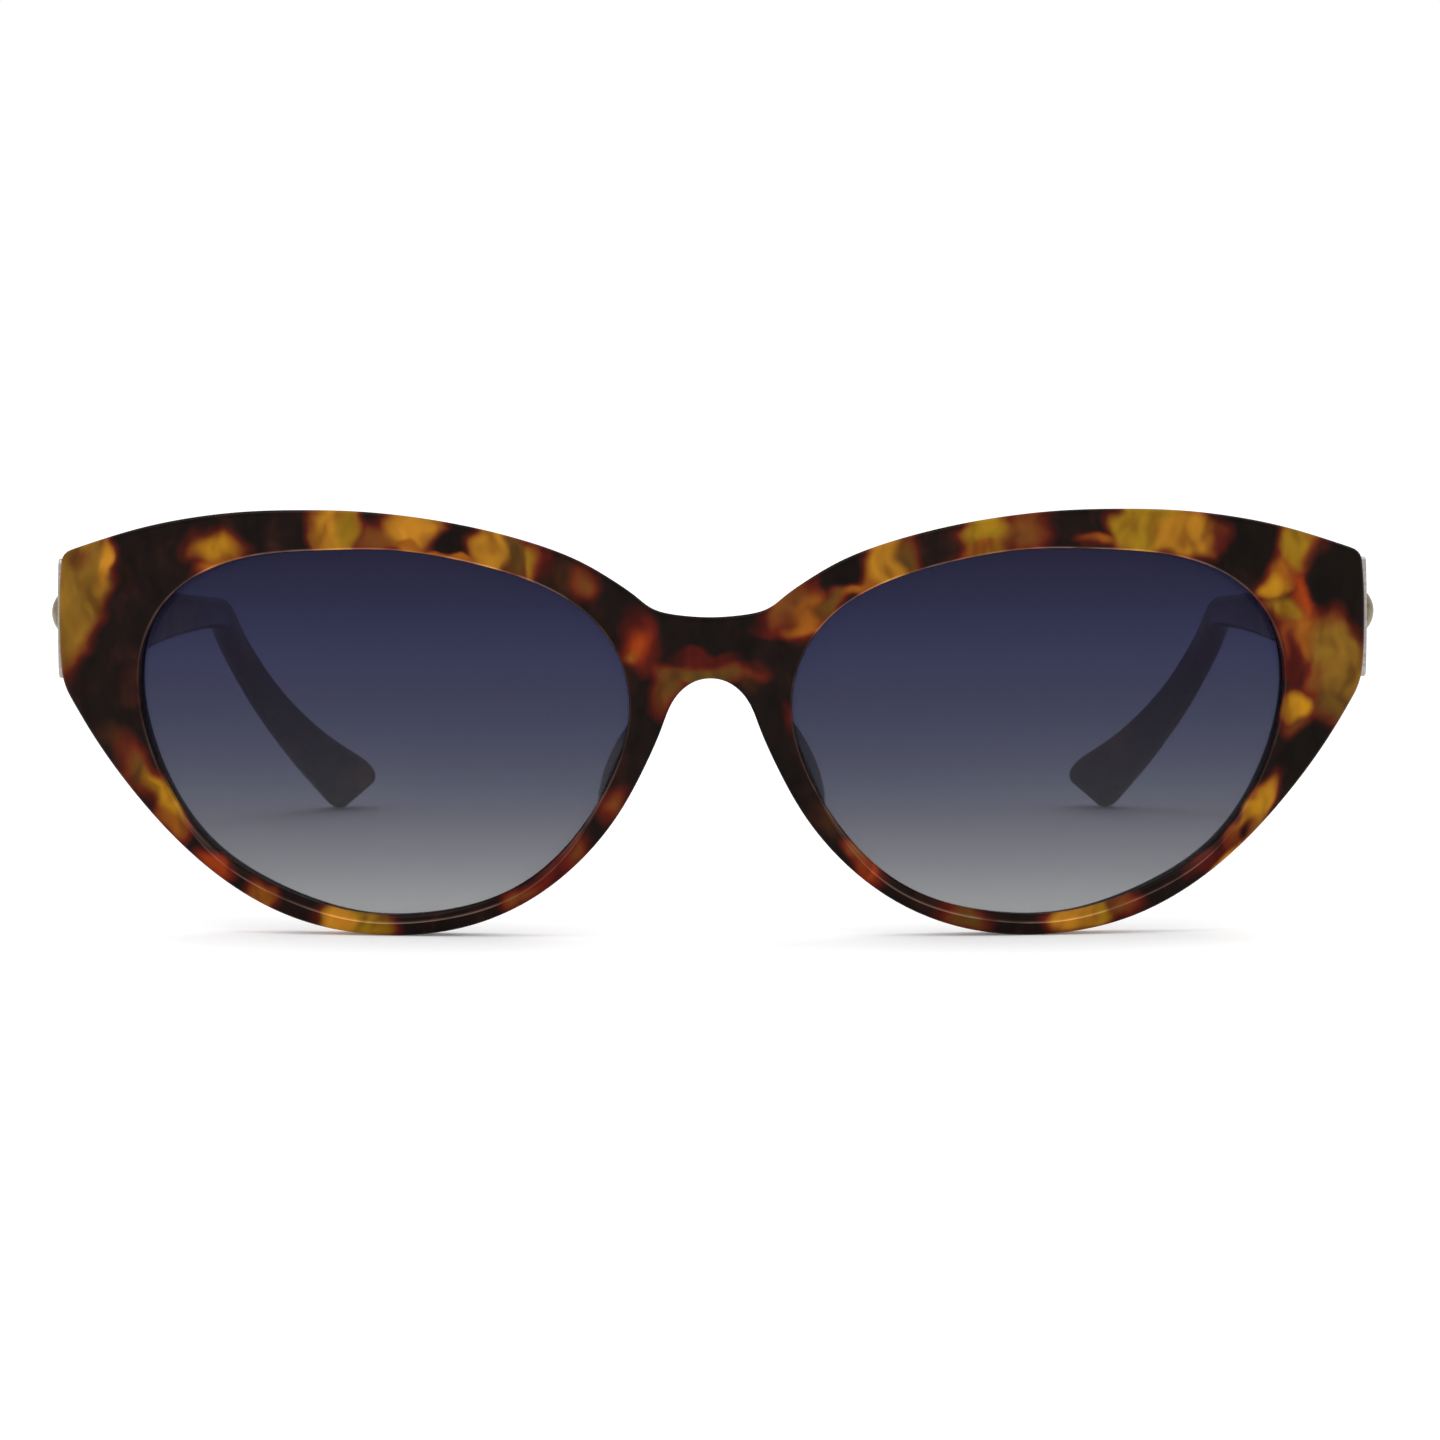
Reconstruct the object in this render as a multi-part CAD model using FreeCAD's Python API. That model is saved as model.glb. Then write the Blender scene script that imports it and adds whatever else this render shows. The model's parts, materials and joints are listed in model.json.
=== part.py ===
import FreeCAD, Part
import math
import os

from FreeCAD import Vector

# Cat eye sunglasses with an acetate front, tinted lenses and folding acetate
# temples.  Millimetres.  +Z is up, +Y runs back along the open temples towards
# the wearer's ears and -Y is the way the lenses look.  The glasses stand open on
# a level surface: the two rim bottoms and the two temple tips touch it.
# Everything is mirror-symmetric about X = 0.  "left" and "right" are the
# wearer's own, so *_left pieces lie at +X.

# ---------------------------------------------------------------- dimensions
FRONT_LEAN = 5.0            # deg, top of the front leans forward when it stands
TEMPLE_SLOPE = 3.0          # deg, temples run down towards their tips
FRONT_RADIUS = 306.0        # wrap radius of the front, about its own vertical axis
FRONT_THICK = 4.0           # acetate sheet thickness
EDGE_FRONT_R = 0.8          # rounding of the outer edge, front side
EDGE_REAR_R = 0.6           # rounding of the outer edge, rear side
EYE_EDGE_R = 0.4            # rounding of the eyewire's front edge
TOP_CORNER_R = 1.3          # upper outer corner of the end piece
LOW_CORNER_R = 2.0          # lower outer corner of the end piece

LENS_BASE_R = 132.0         # front surface radius of the lens (base 4)
LENS_THICK = 2.0
LENS_CENTRE = (35.35, 22.6)  # x, z of a lens centre in the front's own frame
LENS_GROOVE = 0.55          # how far the lens edge sits inside the eyewire
LENS_BULGE = 1.5            # lens apex ahead of its own edge, at mid thickness

END_INNER_X = 63.0          # inner side of the thick end piece behind the front
END_Z = (27.4, 41.9)        # its lower and upper limits in the front's frame
HINGE_FACE_Y = 10.5         # rear face of the end piece, at hinge height
HINGE_X = 65.4              # hinge axis
HINGE_Z = 34.0
AXIS_BACK = 1.85            # hinge axis behind the end piece's rear face
KNUCKLE_R = 1.6
SCREW_R = 0.7
RUN_CLEAR = 0.05            # radial clearance of the moving knuckles
SCREW_HEAD_R = 1.15
SCREW_HEAD_H = 0.7
LEAF_T = 1.1                # hinge leaf plate thickness
LEAF_H = 9.0                # hinge leaf and barrel height
KNUCKLES_FRONT = ((-4.5, -2.9), (-0.8, 0.8), (2.9, 4.5))
KNUCKLES_TEMPLE = ((-2.75, -0.95), (0.95, 2.75))

TEMPLE_OUT_X = 71.5         # outer face of the temple beside the hinge
TEMPLE_T = 4.3              # its thickness there
TEMPLE_START = 0.2          # gap between the temple end and the end piece
TEMPLE_FLAT = 22.0          # flat sided length that carries hinge and plaque
TEMPLE_CORNER_R = 1.0
TEMPLE_END = 138.0          # tip, measured behind the end piece's rear face

PLAQUE_EDGE_T = 0.40        # metal plaque, thickness at its upper and lower edge
PLAQUE_MID_T = 0.75         # and at mid height
PLAQUE_Y = (0.7, 20.5)
STUD_R = 2.7
STUD_H = 1.4
STUD_YZ = (6.6, 0.4)
RIVET_R = 0.6
RIVET_YS = (3.9, 11.4)
RIVET_HEAD_R = 1.0
RIVET_HEAD_H = 0.35
CORE_R = 0.6                # core wire inside the temple

# Upper edge of the front, from the middle of the bridge to the end piece (x, z).
TOP_EDGE = [(0.0, 35.08), (3.0, 35.26), (5.0, 35.58), (6.0, 35.9), (7.0, 36.5),
            (8.0, 37.33), (10.0, 38.77), (12.0, 40.03), (14.0, 41.12),
            (16.0, 42.0), (20.0, 43.35), (26.0, 44.83), (32.0, 45.8),
            (38.0, 46.32), (44.0, 46.38), (50.0, 46.12), (56.2, 45.33),
            (62.4, 43.93), (67.0, 42.45), (70.9, 41.05)]
# Outer side of the end piece, downwards.
SIDE_EDGE = [(70.9, 41.05), (71.25, 37.6), (71.4, 33.5), (71.35, 29.8), (71.1, 26.7)]
# Lower edge, from the end piece round the rim to the top of the nose arch.
LOW_EDGE = [(71.1, 26.7), (67.95, 21.3), (62.85, 14.38), (56.75, 8.1), (50.63, 3.75),
            (44.5, 1.15), (38.4, 0.03), (32.3, 0.0), (26.2, 1.16), (20.15, 3.82),
            (14.07, 8.62), (10.03, 13.64), (7.01, 19.19), (5.2, 23.4), (4.5, 25.25),
            (3.9, 26.35), (3.0, 27.4), (1.6, 28.3), (0.0, 28.6)]
# Eyewire opening of the +X lens, once round from the temple side (x, z).
EYE = [(61.8, 21.69), (62.56, 26.46), (62.01, 31.4), (59.73, 35.88), (55.89, 39.2),
       (51.26, 41.11), (46.68, 41.93), (42.56, 42.24), (38.85, 42.41), (35.34, 42.43),
       (31.9, 42.18), (28.46, 41.65), (24.91, 40.88), (21.11, 39.81), (17.13, 38.17),
       (13.34, 35.61), (10.42, 31.96), (8.95, 27.49), (9.1, 22.76), (10.52, 18.28),
       (12.66, 14.29), (15.2, 10.79), (18.11, 7.79), (21.42, 5.45), (25.0, 3.85),
       (28.64, 2.87), (32.22, 2.32), (35.75, 2.14), (39.24, 2.41), (42.64, 3.16),
       (45.98, 4.3), (49.31, 5.78), (52.61, 7.7), (55.68, 10.27), (58.25, 13.53),
       (60.29, 17.36)]

# Temple centre line and section: distance behind the end piece, x, z relative to
# the hinge height, thickness, height, and how far the paddle's top edge turns in, in
# degrees.  All in the temple's own sloping frame.
TEMPLE = [
    (0.2, 69.35, 0.0, 4.30, 14.0, 0.0),
    (11.0, 69.35, 0.0, 4.30, 12.7, 0.0),
    (22.0, 69.35, 0.0, 4.30, 11.2, 0.0),
    (40.0, 68.45, 0.0, 4.05, 8.3, 0.0),
    (60.0, 66.95, 0.0, 3.75, 5.9, 0.0),
    (80.0, 65.30, 0.0, 3.50, 4.5, 0.0),
    (97.0, 64.20, -0.15, 3.30, 4.0, 0.0),
    (107.9, 63.10, -4.3, 3.25, 4.2, 4.0),
    (117.2, 60.10, -11.0, 3.30, 4.7, 14.0),
    (127.1, 55.40, -18.0, 3.50, 5.8, 32.0),
    (138.0, 49.30, -24.59, 3.90, 8.2, 58.0),
]


# ------------------------------------------------------------------- helpers
def curve(points, periodic=False):
    c = Part.BSplineCurve()
    c.interpolate(Points=[Vector(*p) for p in points], PeriodicFlag=periodic)
    return c


def xz(points, y):
    return [(x, y, z) for x, z in points]


def mirrored(points):
    return [(-x, z) for x, z in points]


def mirror(shape):
    return shape.mirror(Vector(0, 0, 0), Vector(1, 0, 0))


def box(x0, x1, y0, y1, z0, z1):
    return Part.makeBox(x1 - x0, y1 - y0, z1 - z0, Vector(x0, y0, z0))


def solid_of(shape):
    s = shape.removeSplitter()
    if s.ShapeType == "Solid":
        return s
    solids = s.Solids
    if len(solids) == 1:
        return solids[0]
    return Part.makeCompound(solids)


def stand_front(shape):
    s = shape.copy()
    s.rotate(Vector(0, 0, 0), Vector(1, 0, 0), FRONT_LEAN)
    return s


PIVOT = Vector(HINGE_X, HINGE_FACE_Y + AXIS_BACK, HINGE_Z)


def stand_temple(shape):
    # Temple frame: x as it stands, y behind the end piece's rear face, z from
    # the hinge height.  The frame slopes down towards the tips.
    s = shape.copy()
    s.translate(Vector(0, HINGE_FACE_Y, HINGE_Z))
    s.rotate(PIVOT, Vector(1, 0, 0), -TEMPLE_SLOPE)
    return s


def spread(table, value, column):
    # Smooth interpolation (Hermite, limited slopes) in a table of rows.
    n = len(table)
    xs = [r[0] for r in table]
    ys = [r[column] for r in table]
    d = [(ys[i + 1] - ys[i]) / (xs[i + 1] - xs[i]) for i in range(n - 1)]
    m = [d[0]] + [0.0] * (n - 2) + [d[-1]]
    for i in range(1, n - 1):
        if d[i - 1] * d[i] <= 0:
            m[i] = 0.0
        else:
            w1 = 2 * (xs[i + 1] - xs[i]) + (xs[i] - xs[i - 1])
            w2 = (xs[i + 1] - xs[i]) + 2 * (xs[i] - xs[i - 1])
            m[i] = (w1 + w2) / (w1 / d[i - 1] + w2 / d[i])
    value = min(max(value, xs[0]), xs[-1])
    i = 0
    while i < n - 2 and value > xs[i + 1]:
        i += 1
    h = xs[i + 1] - xs[i]
    t = (value - xs[i]) / h
    return ((2 * t ** 3 - 3 * t ** 2 + 1) * ys[i] + (t ** 3 - 2 * t ** 2 + t) * h * m[i]
            + (-2 * t ** 3 + 3 * t ** 2) * ys[i + 1] + (t ** 3 - t ** 2) * h * m[i + 1])


def offset_loop(points, dist):
    # Moves a closed loop of (x, z) points outwards.
    n = len(points)
    cx = sum(p[0] for p in points) / n
    cz = sum(p[1] for p in points) / n
    out = []
    for i in range(n):
        a = points[i - 1]
        b = points[(i + 1) % n]
        tx, tz = b[0] - a[0], b[1] - a[1]
        ln = math.hypot(tx, tz)
        nx, nz = tz / ln, -tx / ln
        if nx * (points[i][0] - cx) + nz * (points[i][1] - cz) < 0:
            nx, nz = -nx, -nz
        out.append((points[i][0] + nx * dist, points[i][1] + nz * dist))
    return out


def loop_prism(points, y0, y1):
    wire = Part.Wire([curve(xz(points, y0), True).toShape()])
    return Part.Face(wire).extrude(Vector(0, y1 - y0, 0))


# --------------------------------------------------------------------- front
def outline_prism(y0, y1):
    top = mirrored(TOP_EDGE[1:])[::-1] + TOP_EDGE
    low = LOW_EDGE + mirrored(LOW_EDGE[:-1])[::-1]
    edges = [curve(xz(top, y0)).toShape(),
             curve(xz(SIDE_EDGE, y0)).toShape(),
             curve(xz(low, y0)).toShape(),
             curve(xz(mirrored(SIDE_EDGE), y0)).toShape()]
    wire = Part.Wire(Part.__sortEdges__(edges))
    prism = Part.Face(wire).extrude(Vector(0, y1 - y0, 0))
    upper, lower = [], []
    for e in prism.Edges:
        a, b = e.Vertexes[0].Point, e.Vertexes[-1].Point
        if abs(a.y - b.y) > 1.0:
            (upper if a.z > 35 else lower).append(e)
    prism = prism.makeFillet(TOP_CORNER_R, upper)
    lower = [e for e in prism.Edges
             if abs(e.Vertexes[0].Point.y - e.Vertexes[-1].Point.y) > 1.0
             and abs(e.Vertexes[0].Point.z - LOW_EDGE[0][1]) < 0.02]
    return prism.makeFillet(LOW_CORNER_R, lower)


def wrap(radius):
    # Solid cylinder about the wrap axis, which stands behind the front.
    return Part.makeCylinder(radius, 70, Vector(0, FRONT_RADIUS, -12))


PRISM = outline_prism(-3.0, 22.0)

plate = PRISM.common(wrap(FRONT_RADIUS).cut(wrap(FRONT_RADIUS - FRONT_THICK)))
plate = solid_of(plate)


def rim_edges(shape, radius_of_face):
    # Edges of the outline that lie on the cylinder of the given radius.
    out = []
    for e in shape.Edges:
        p = e.valueAt(0.5 * (e.FirstParameter + e.LastParameter))
        r0 = math.hypot(p.x, p.y - FRONT_RADIUS)
        q = e.Vertexes[0].Point
        r1 = math.hypot(q.x, q.y - FRONT_RADIUS)
        if abs(r0 - radius_of_face) < 0.01 and abs(r1 - radius_of_face) < 0.01:
            out.append(e)
    return out


plate = plate.makeFillet(EDGE_FRONT_R, rim_edges(plate, FRONT_RADIUS))
plate = plate.makeFillet(EDGE_REAR_R, rim_edges(plate, FRONT_RADIUS - FRONT_THICK))

# Eyewire openings, with a small rounding on the side that is looked at.
eye_cut = loop_prism(EYE, -6.0, 24.0)
plate = plate.cut(eye_cut).cut(mirror(eye_cut))
eye_edges = []
for e in rim_edges(plate, FRONT_RADIUS):
    bb = e.BoundBox
    if bb.XLength < 56 and abs(bb.Center.x) > 25:
        eye_edges.append(e)
plate = plate.makeFillet(EYE_EDGE_R, eye_edges)

# Lens: a spherical shell cut to the eyewire, with its edge in the groove.
cx, cz = LENS_CENTRE
sag = FRONT_RADIUS - math.sqrt(FRONT_RADIUS ** 2 - cx ** 2)
tilt = math.asin(cx / FRONT_RADIUS)
mid_r = LENS_BASE_R - 0.5 * LENS_THICK
apex = Vector(cx, sag + 0.5 * FRONT_THICK - LENS_BULGE, cz)
ball = apex + Vector(-math.sin(tilt), math.cos(tilt), 0) * mid_r
lens_shell = Part.makeSphere(LENS_BASE_R, ball).cut(
    Part.makeSphere(LENS_BASE_R - LENS_THICK, ball))
lens_left = solid_of(loop_prism(offset_loop(EYE, LENS_GROOVE), -6.0, 24.0).common(
    lens_shell.common(box(0, 80, -8, 26, -6, 56))))
lens_right = mirror(lens_left)

# End pieces: thick acetate behind the outer corners, cut square to the temples.
temple_side = box(-100, 100, -60, 0, -60, 60)          # everything ahead of y = 0
temple_side = stand_temple(temple_side)
temple_side.rotate(Vector(0, 0, 0), Vector(1, 0, 0), -FRONT_LEAN)   # front's frame
end_block = PRISM.common(box(END_INNER_X, 90, 5, 21, END_Z[0], END_Z[1]))
end_block = end_block.common(wrap(FRONT_RADIUS - 1.2)).common(temple_side)
end_block = solid_of(end_block)
front = plate.fuse(end_block).fuse(mirror(end_block))
front = solid_of(front)
front = front.cut(lens_left).cut(lens_right)


# ----------------------------------------------------------------- nose pads
# Acetate pads bonded behind the nose flanks: long rounds that flare outwards.
# Rows: y in the front's frame, shift in x, half length, half width.
PAD_ROWS = [(3.4, 0.0, 6.3, 1.30), (5.0, 0.05, 6.7, 1.45), (6.8, 0.2, 6.6, 1.55),
            (8.4, 0.45, 6.0, 1.50), (9.5, 0.7, 4.9, 1.20), (10.1, 0.85, 3.2, 0.70)]
PAD_MID = (8.95, 18.9)       # x, z of the pad's middle in the front's frame
PAD_LEAN = 27.0              # deg, pad follows the nose flank


def oval(cx, cz, y, half_len, half_wid, lean):
    a = math.radians(lean)
    ux, uz = -math.sin(a), math.cos(a)     # along the pad, up and inwards
    vx, vz = math.cos(a), math.sin(a)
    pts = []
    for i in range(16):
        t = 2 * math.pi * i / 16
        s, c = math.sin(t), math.cos(t)
        pts.append((cx + ux * half_len * s + vx * half_wid * c, y,
                    cz + uz * half_len * s + vz * half_wid * c))
    return Part.Wire([curve(pts, True).toShape()])


pad_wires = [oval(PAD_MID[0] + dx, PAD_MID[1], y, hl, hw, PAD_LEAN)
             for y, dx, hl, hw in PAD_ROWS]
pad = Part.makeLoft(pad_wires, True, False)
pad_left = solid_of(pad.cut(front))
pad_left = max(pad_left.Solids, key=lambda s: s.Volume)


# -------------------------------------------------------------------- hinges
def barrel(z0, z1, bore):
    # One knuckle about the hinge axis, in the temple frame.
    c = Part.makeCylinder(KNUCKLE_R, z1 - z0, Vector(HINGE_X, AXIS_BACK, z0))
    return c


def bore_cyl(r, z0, z1):
    return Part.makeCylinder(r, z1 - z0, Vector(HINGE_X, AXIS_BACK, z0))


half = 0.5 * LEAF_H
front_leaf = box(HINGE_X - KNUCKLE_R, 69.4, -LEAF_T, 0, -half, half)
front_leaf = front_leaf.makeFillet(0.9, [e for e in front_leaf.Edges
                                         if abs(e.BoundBox.YLength - LEAF_T) < 1e-6
                                         and e.BoundBox.XLength < 1e-6
                                         and e.BoundBox.Center.x > 69])
for z0, z1 in KNUCKLES_FRONT:
    front_leaf = front_leaf.fuse(barrel(z0, z1, 0)).fuse(
        box(HINGE_X - KNUCKLE_R, HINGE_X + KNUCKLE_R, -0.2, AXIS_BACK, z0, z1))
front_leaf = front_leaf.cut(bore_cyl(SCREW_R + RUN_CLEAR, -1.5, 5.0))
front_leaf = front_leaf.cut(bore_cyl(SCREW_R, -5.0, -1.5))
front_leaf = front_leaf.cut(bore_cyl(SCREW_HEAD_R + 0.05, half - SCREW_HEAD_H - 0.05, 5.0))
front_leaf = solid_of(front_leaf)

temple_in_x = TEMPLE_OUT_X - TEMPLE_T
temple_leaf = box(temple_in_x, temple_in_x + LEAF_T, 0.9, 14.6, -4.2, 4.2)
temple_leaf = temple_leaf.makeFillet(1.6, [e for e in temple_leaf.Edges
                                           if e.BoundBox.YLength < 1e-6
                                           and e.BoundBox.ZLength < 1e-6
                                           and e.BoundBox.Center.y > 10])
for z0, z1 in KNUCKLES_TEMPLE:
    temple_leaf = temple_leaf.fuse(barrel(z0, z1, 0)).fuse(
        box(HINGE_X, temple_in_x + 0.3, AXIS_BACK - KNUCKLE_R + 0.9,
            AXIS_BACK + KNUCKLE_R, z0, z1))
temple_leaf = temple_leaf.cut(bore_cyl(SCREW_R + RUN_CLEAR, -5.0, 5.0))
temple_leaf = solid_of(temple_leaf)

screw = bore_cyl(SCREW_R, -half, half - SCREW_HEAD_H).fuse(
    bore_cyl(SCREW_HEAD_R, half - SCREW_HEAD_H, half))
screw = screw.cut(box(HINGE_X - 2, HINGE_X + 2, AXIS_BACK - 0.18, AXIS_BACK + 0.18,
                      half - 0.3, half + 1))
screw = solid_of(screw)


# ------------------------------------------------------------------- temples
def centre(s):
    return Vector(spread(TEMPLE, s, 1), s, spread(TEMPLE, s, 2))


def frame_at(s):
    d = centre(min(s + 0.4, TEMPLE_END)) - centre(max(s - 0.4, TEMPLE[0][0]))
    d.normalize()
    x = Vector(1, 0, 0)
    t = x - d * x.dot(d)
    t.normalize()
    w = t.cross(d)
    turn = math.radians(spread(TEMPLE, s, 5))
    c, q = math.cos(turn), math.sin(turn)
    return d, t * c + w * q, w * c - t * q


def round_rect(mid, t, w, half_t, half_w, r):
    # Closed wire of four lines and four arcs across the temple.
    def at(a, b):
        return mid + t * a + w * b
    k = r * (1 - math.sqrt(0.5))
    ht, hw = half_t, half_w
    pts = [((ht, -hw + r), (ht, hw - r)), ((ht - r, hw), (-ht + r, hw)),
           ((-ht, hw - r), (-ht, -hw + r)), ((-ht + r, -hw), (ht - r, -hw))]
    mids = [(ht - k, hw - k), (-ht + k, hw - k), (-ht + k, -hw + k), (ht - k, -hw + k)]
    edges = []
    for i in range(4):
        a, b = pts[i]
        edges.append(Part.LineSegment(at(*a), at(*b)).toShape())
        n = pts[(i + 1) % 4][0]
        edges.append(Part.Arc(at(*b), at(*mids[i]), at(*n)).toShape())
    return Part.Wire(edges)


def section(s, scale=1.0, flat=False):
    d, t, w = frame_at(s)
    if flat:
        t, w = Vector(1, 0, 0), Vector(0, 0, 1)
    ht = 0.5 * spread(TEMPLE, s, 3) * scale
    hw = 0.5 * spread(TEMPLE, s, 4) * scale
    grow = min(max((s - TEMPLE_FLAT) / 60.0, 0.0), 1.0)
    r = (TEMPLE_CORNER_R + 0.55 * grow)
    r = min(r, 0.92 * ht, 0.92 * hw)
    return round_rect(centre(s), t, w, ht, hw, r)


block = Part.makeLoft([section(TEMPLE_START, 1.0, True), section(TEMPLE_FLAT, 1.0, True)],
                      True, True)
stations = [22.0, 30.0, 40.0, 50.0, 60.0, 70.0, 80.0, 88.0, 95.0, 100.0, 105.0, 110.0,
            115.0, 120.0, 125.0, 130.0, 133.5]
wires = [section(s, 1.0, s == 22.0) for s in stations]
arm = Part.makeLoft(wires, True, False)
tip = Part.makeLoft([section(133.5), section(135.8, 0.985), section(136.9, 0.93),
                     section(137.6, 0.80), section(138.0, 0.58)], True, True)
temple = block.fuse(arm).fuse(tip)
temple = solid_of(temple)

# Pocket for the hinge leaf, holes for the rivets and the stud, core wire bore.
leaf_pocket = box(temple_in_x - 1, temple_in_x + LEAF_T, 0.9, 14.6, -4.2, 4.2)
leaf_pocket = leaf_pocket.makeFillet(1.6, [e for e in leaf_pocket.Edges
                                           if e.BoundBox.YLength < 1e-6
                                           and e.BoundBox.ZLength < 1e-6
                                           and e.BoundBox.Center.y > 10])
temple = temple.cut(leaf_pocket)


# Decorative plaque: follows the temple's flat outer face, slightly crowned.
def plaque_outline(x):
    h0 = 0.5 * spread(TEMPLE, PLAQUE_Y[0], 4) - 0.1
    h1 = 0.5 * spread(TEMPLE, PLAQUE_Y[1], 4) - 0.25
    y0, y1 = PLAQUE_Y
    pts = [Vector(x, y0, -h0), Vector(x, y0, h0), Vector(x, y1, h1), Vector(x, y1, -h1),
           Vector(x, y0, -h0)]
    return Part.Face(Part.makePolygon(pts))


plaque = plaque_outline(TEMPLE_OUT_X).extrude(Vector(3, 0, 0))
crown_r = (7.0 ** 2) / (2 * (PLAQUE_MID_T - PLAQUE_EDGE_T))
crown = Part.makeCylinder(crown_r, 60, Vector(TEMPLE_OUT_X + PLAQUE_MID_T - crown_r, -20, 0),
                          Vector(0, 1, 0))
plaque = plaque.common(crown)
plaque = plaque.makeFillet(1.1, [e for e in plaque.Edges
                                 if e.BoundBox.YLength < 0.3 and e.BoundBox.ZLength < 0.3
                                 and e.BoundBox.XLength > 0.2])

# Domed stud: a spherical cap over a short shank set through the plaque.
stud_r = (STUD_R ** 2 + STUD_H ** 2) / (2 * STUD_H)
sy, sz = STUD_YZ
face_x = TEMPLE_OUT_X + PLAQUE_MID_T - 0.05
stud = Part.makeSphere(stud_r, Vector(face_x + STUD_H - stud_r, sy, sz)).common(
    box(face_x, face_x + 5, sy - 6, sy + 6, sz - 6, sz + 6))
stud = stud.fuse(Part.makeCylinder(0.9, face_x - TEMPLE_OUT_X + 1.4,
                                   Vector(TEMPLE_OUT_X - 1.4, sy, sz), Vector(1, 0, 0)))
stud = solid_of(stud)

# Rivets: hold the hinge leaf against the plaque through the acetate.
rivets = []
for y in RIVET_YS:
    pin = Part.makeCylinder(RIVET_R, TEMPLE_T, Vector(temple_in_x, y, 0), Vector(1, 0, 0))
    head = Part.makeCone(RIVET_HEAD_R - 0.3, RIVET_HEAD_R, RIVET_HEAD_H,
                         Vector(temple_in_x - RIVET_HEAD_H, y, 0), Vector(1, 0, 0))
    rivets.append(solid_of(pin.fuse(head)))
rivets = Part.makeCompound(rivets)

# Core wire: runs down the middle of the temple to stiffen it.
core_pts = [centre(s) for s in (17.5, 38.0, 60.0, 80.0, 96.5)]
core_pts += [centre(108.5), centre(119.0)]
edges = []
start = core_pts[0]
for i in range(1, len(core_pts) - 1):
    a, p, b = core_pts[i - 1], core_pts[i], core_pts[i + 1]
    u = (p - a)
    v = (b - p)
    la, lb = u.Length, v.Length
    u.normalize()
    v.normalize()
    cut = 0.45 * min(la, lb)
    p0 = p - u * cut
    p1 = p + v * cut
    turn = math.acos(max(-1.0, min(1.0, u.dot(v))))
    radius = cut / math.tan(0.5 * turn)
    inward = (v - u)
    inward.normalize()
    mid = p + inward * (radius / math.cos(0.5 * turn) - radius)
    if (p0 - start).Length > 1e-6:
        edges.append(Part.LineSegment(start, p0).toShape())
    edges.append(Part.Arc(p0, mid, p1).toShape())
    start = p1
edges.append(Part.LineSegment(start, core_pts[-1]).toShape())
path = Part.Wire(edges)
first = core_pts[1] - core_pts[0]
first.normalize()
ring = Part.Wire([Part.Circle(core_pts[0], first, CORE_R).toShape()])
core = path.makePipeShell([ring], True, False)
core = solid_of(core)
print("core wire volume %.2f, section x length %.2f"
      % (core.Volume, math.pi * CORE_R ** 2 * path.Length))

for piece in (rivets, stud, core):
    for s in piece.Solids:
        temple = temple.cut(s)
temple = solid_of(temple)
for s in rivets.Solids:
    temple_leaf = temple_leaf.cut(s)
temple_leaf = solid_of(temple_leaf)
plaque = plaque.cut(stud)
plaque = solid_of(plaque)

# ------------------------------------------------------- stand it, and join it
parts = {}
front_g = stand_front(front)
leaf_g = stand_temple(front_leaf)
front_g = front_g.cut(leaf_g).cut(mirror(leaf_g))
front_g = solid_of(front_g)
parts["front_frame"] = front_g
parts["lens_left"] = stand_front(lens_left)
parts["lens_right"] = mirror(parts["lens_left"])
parts["nose_pad_left"] = stand_front(pad_left)
parts["nose_pad_right"] = mirror(parts["nose_pad_left"])
for name, shape in (("front_hinge", front_leaf), ("hinge_screw", screw),
                    ("temple_arm", temple), ("temple_hinge", temple_leaf),
                    ("temple_core", core), ("temple_plaque", plaque),
                    ("plaque_stud", stud), ("temple_rivets", rivets)):
    left = stand_temple(shape)
    parts[name + "_left"] = left
    parts[name + "_right"] = mirror(left)

# Origin at the middle of the footprint, on the surface it stands on.
group = Part.makeCompound(list(parts.values()))
bb = group.optimalBoundingBox(False, False)
move = Vector(-0.5 * (bb.XMin + bb.XMax), -0.5 * (bb.YMin + bb.YMax), -bb.ZMin)
print("shift %.4f %.4f %.4f  size %.2f %.2f %.2f"
      % (move.x, move.y, move.z, bb.XLength, bb.YLength, bb.ZLength))
for name in parts:
    parts[name].translate(move)
axis = PIVOT + move
print("hinge axis at %.4f %.4f %.4f" % (axis.x, axis.y, axis.z))

os.makedirs("parts", exist_ok=True)
for name, shape in parts.items():
    bb = shape.optimalBoundingBox(False, False)
    print("%-22s solids %d valid %s vol %9.3f  z %.3f..%.3f  x %.2f..%.2f  y %.2f..%.2f"
          % (name, len(shape.Solids), shape.isValid(), shape.Volume, bb.ZMin, bb.ZMax,
             bb.XMin, bb.XMax, bb.YMin, bb.YMax))
    shape.exportStep("parts/%s.step" % name)
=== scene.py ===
import json
import math

import bmesh
import bpy
import numpy as np
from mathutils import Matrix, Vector
from mathutils.geometry import delaunay_2d_cdt


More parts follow.
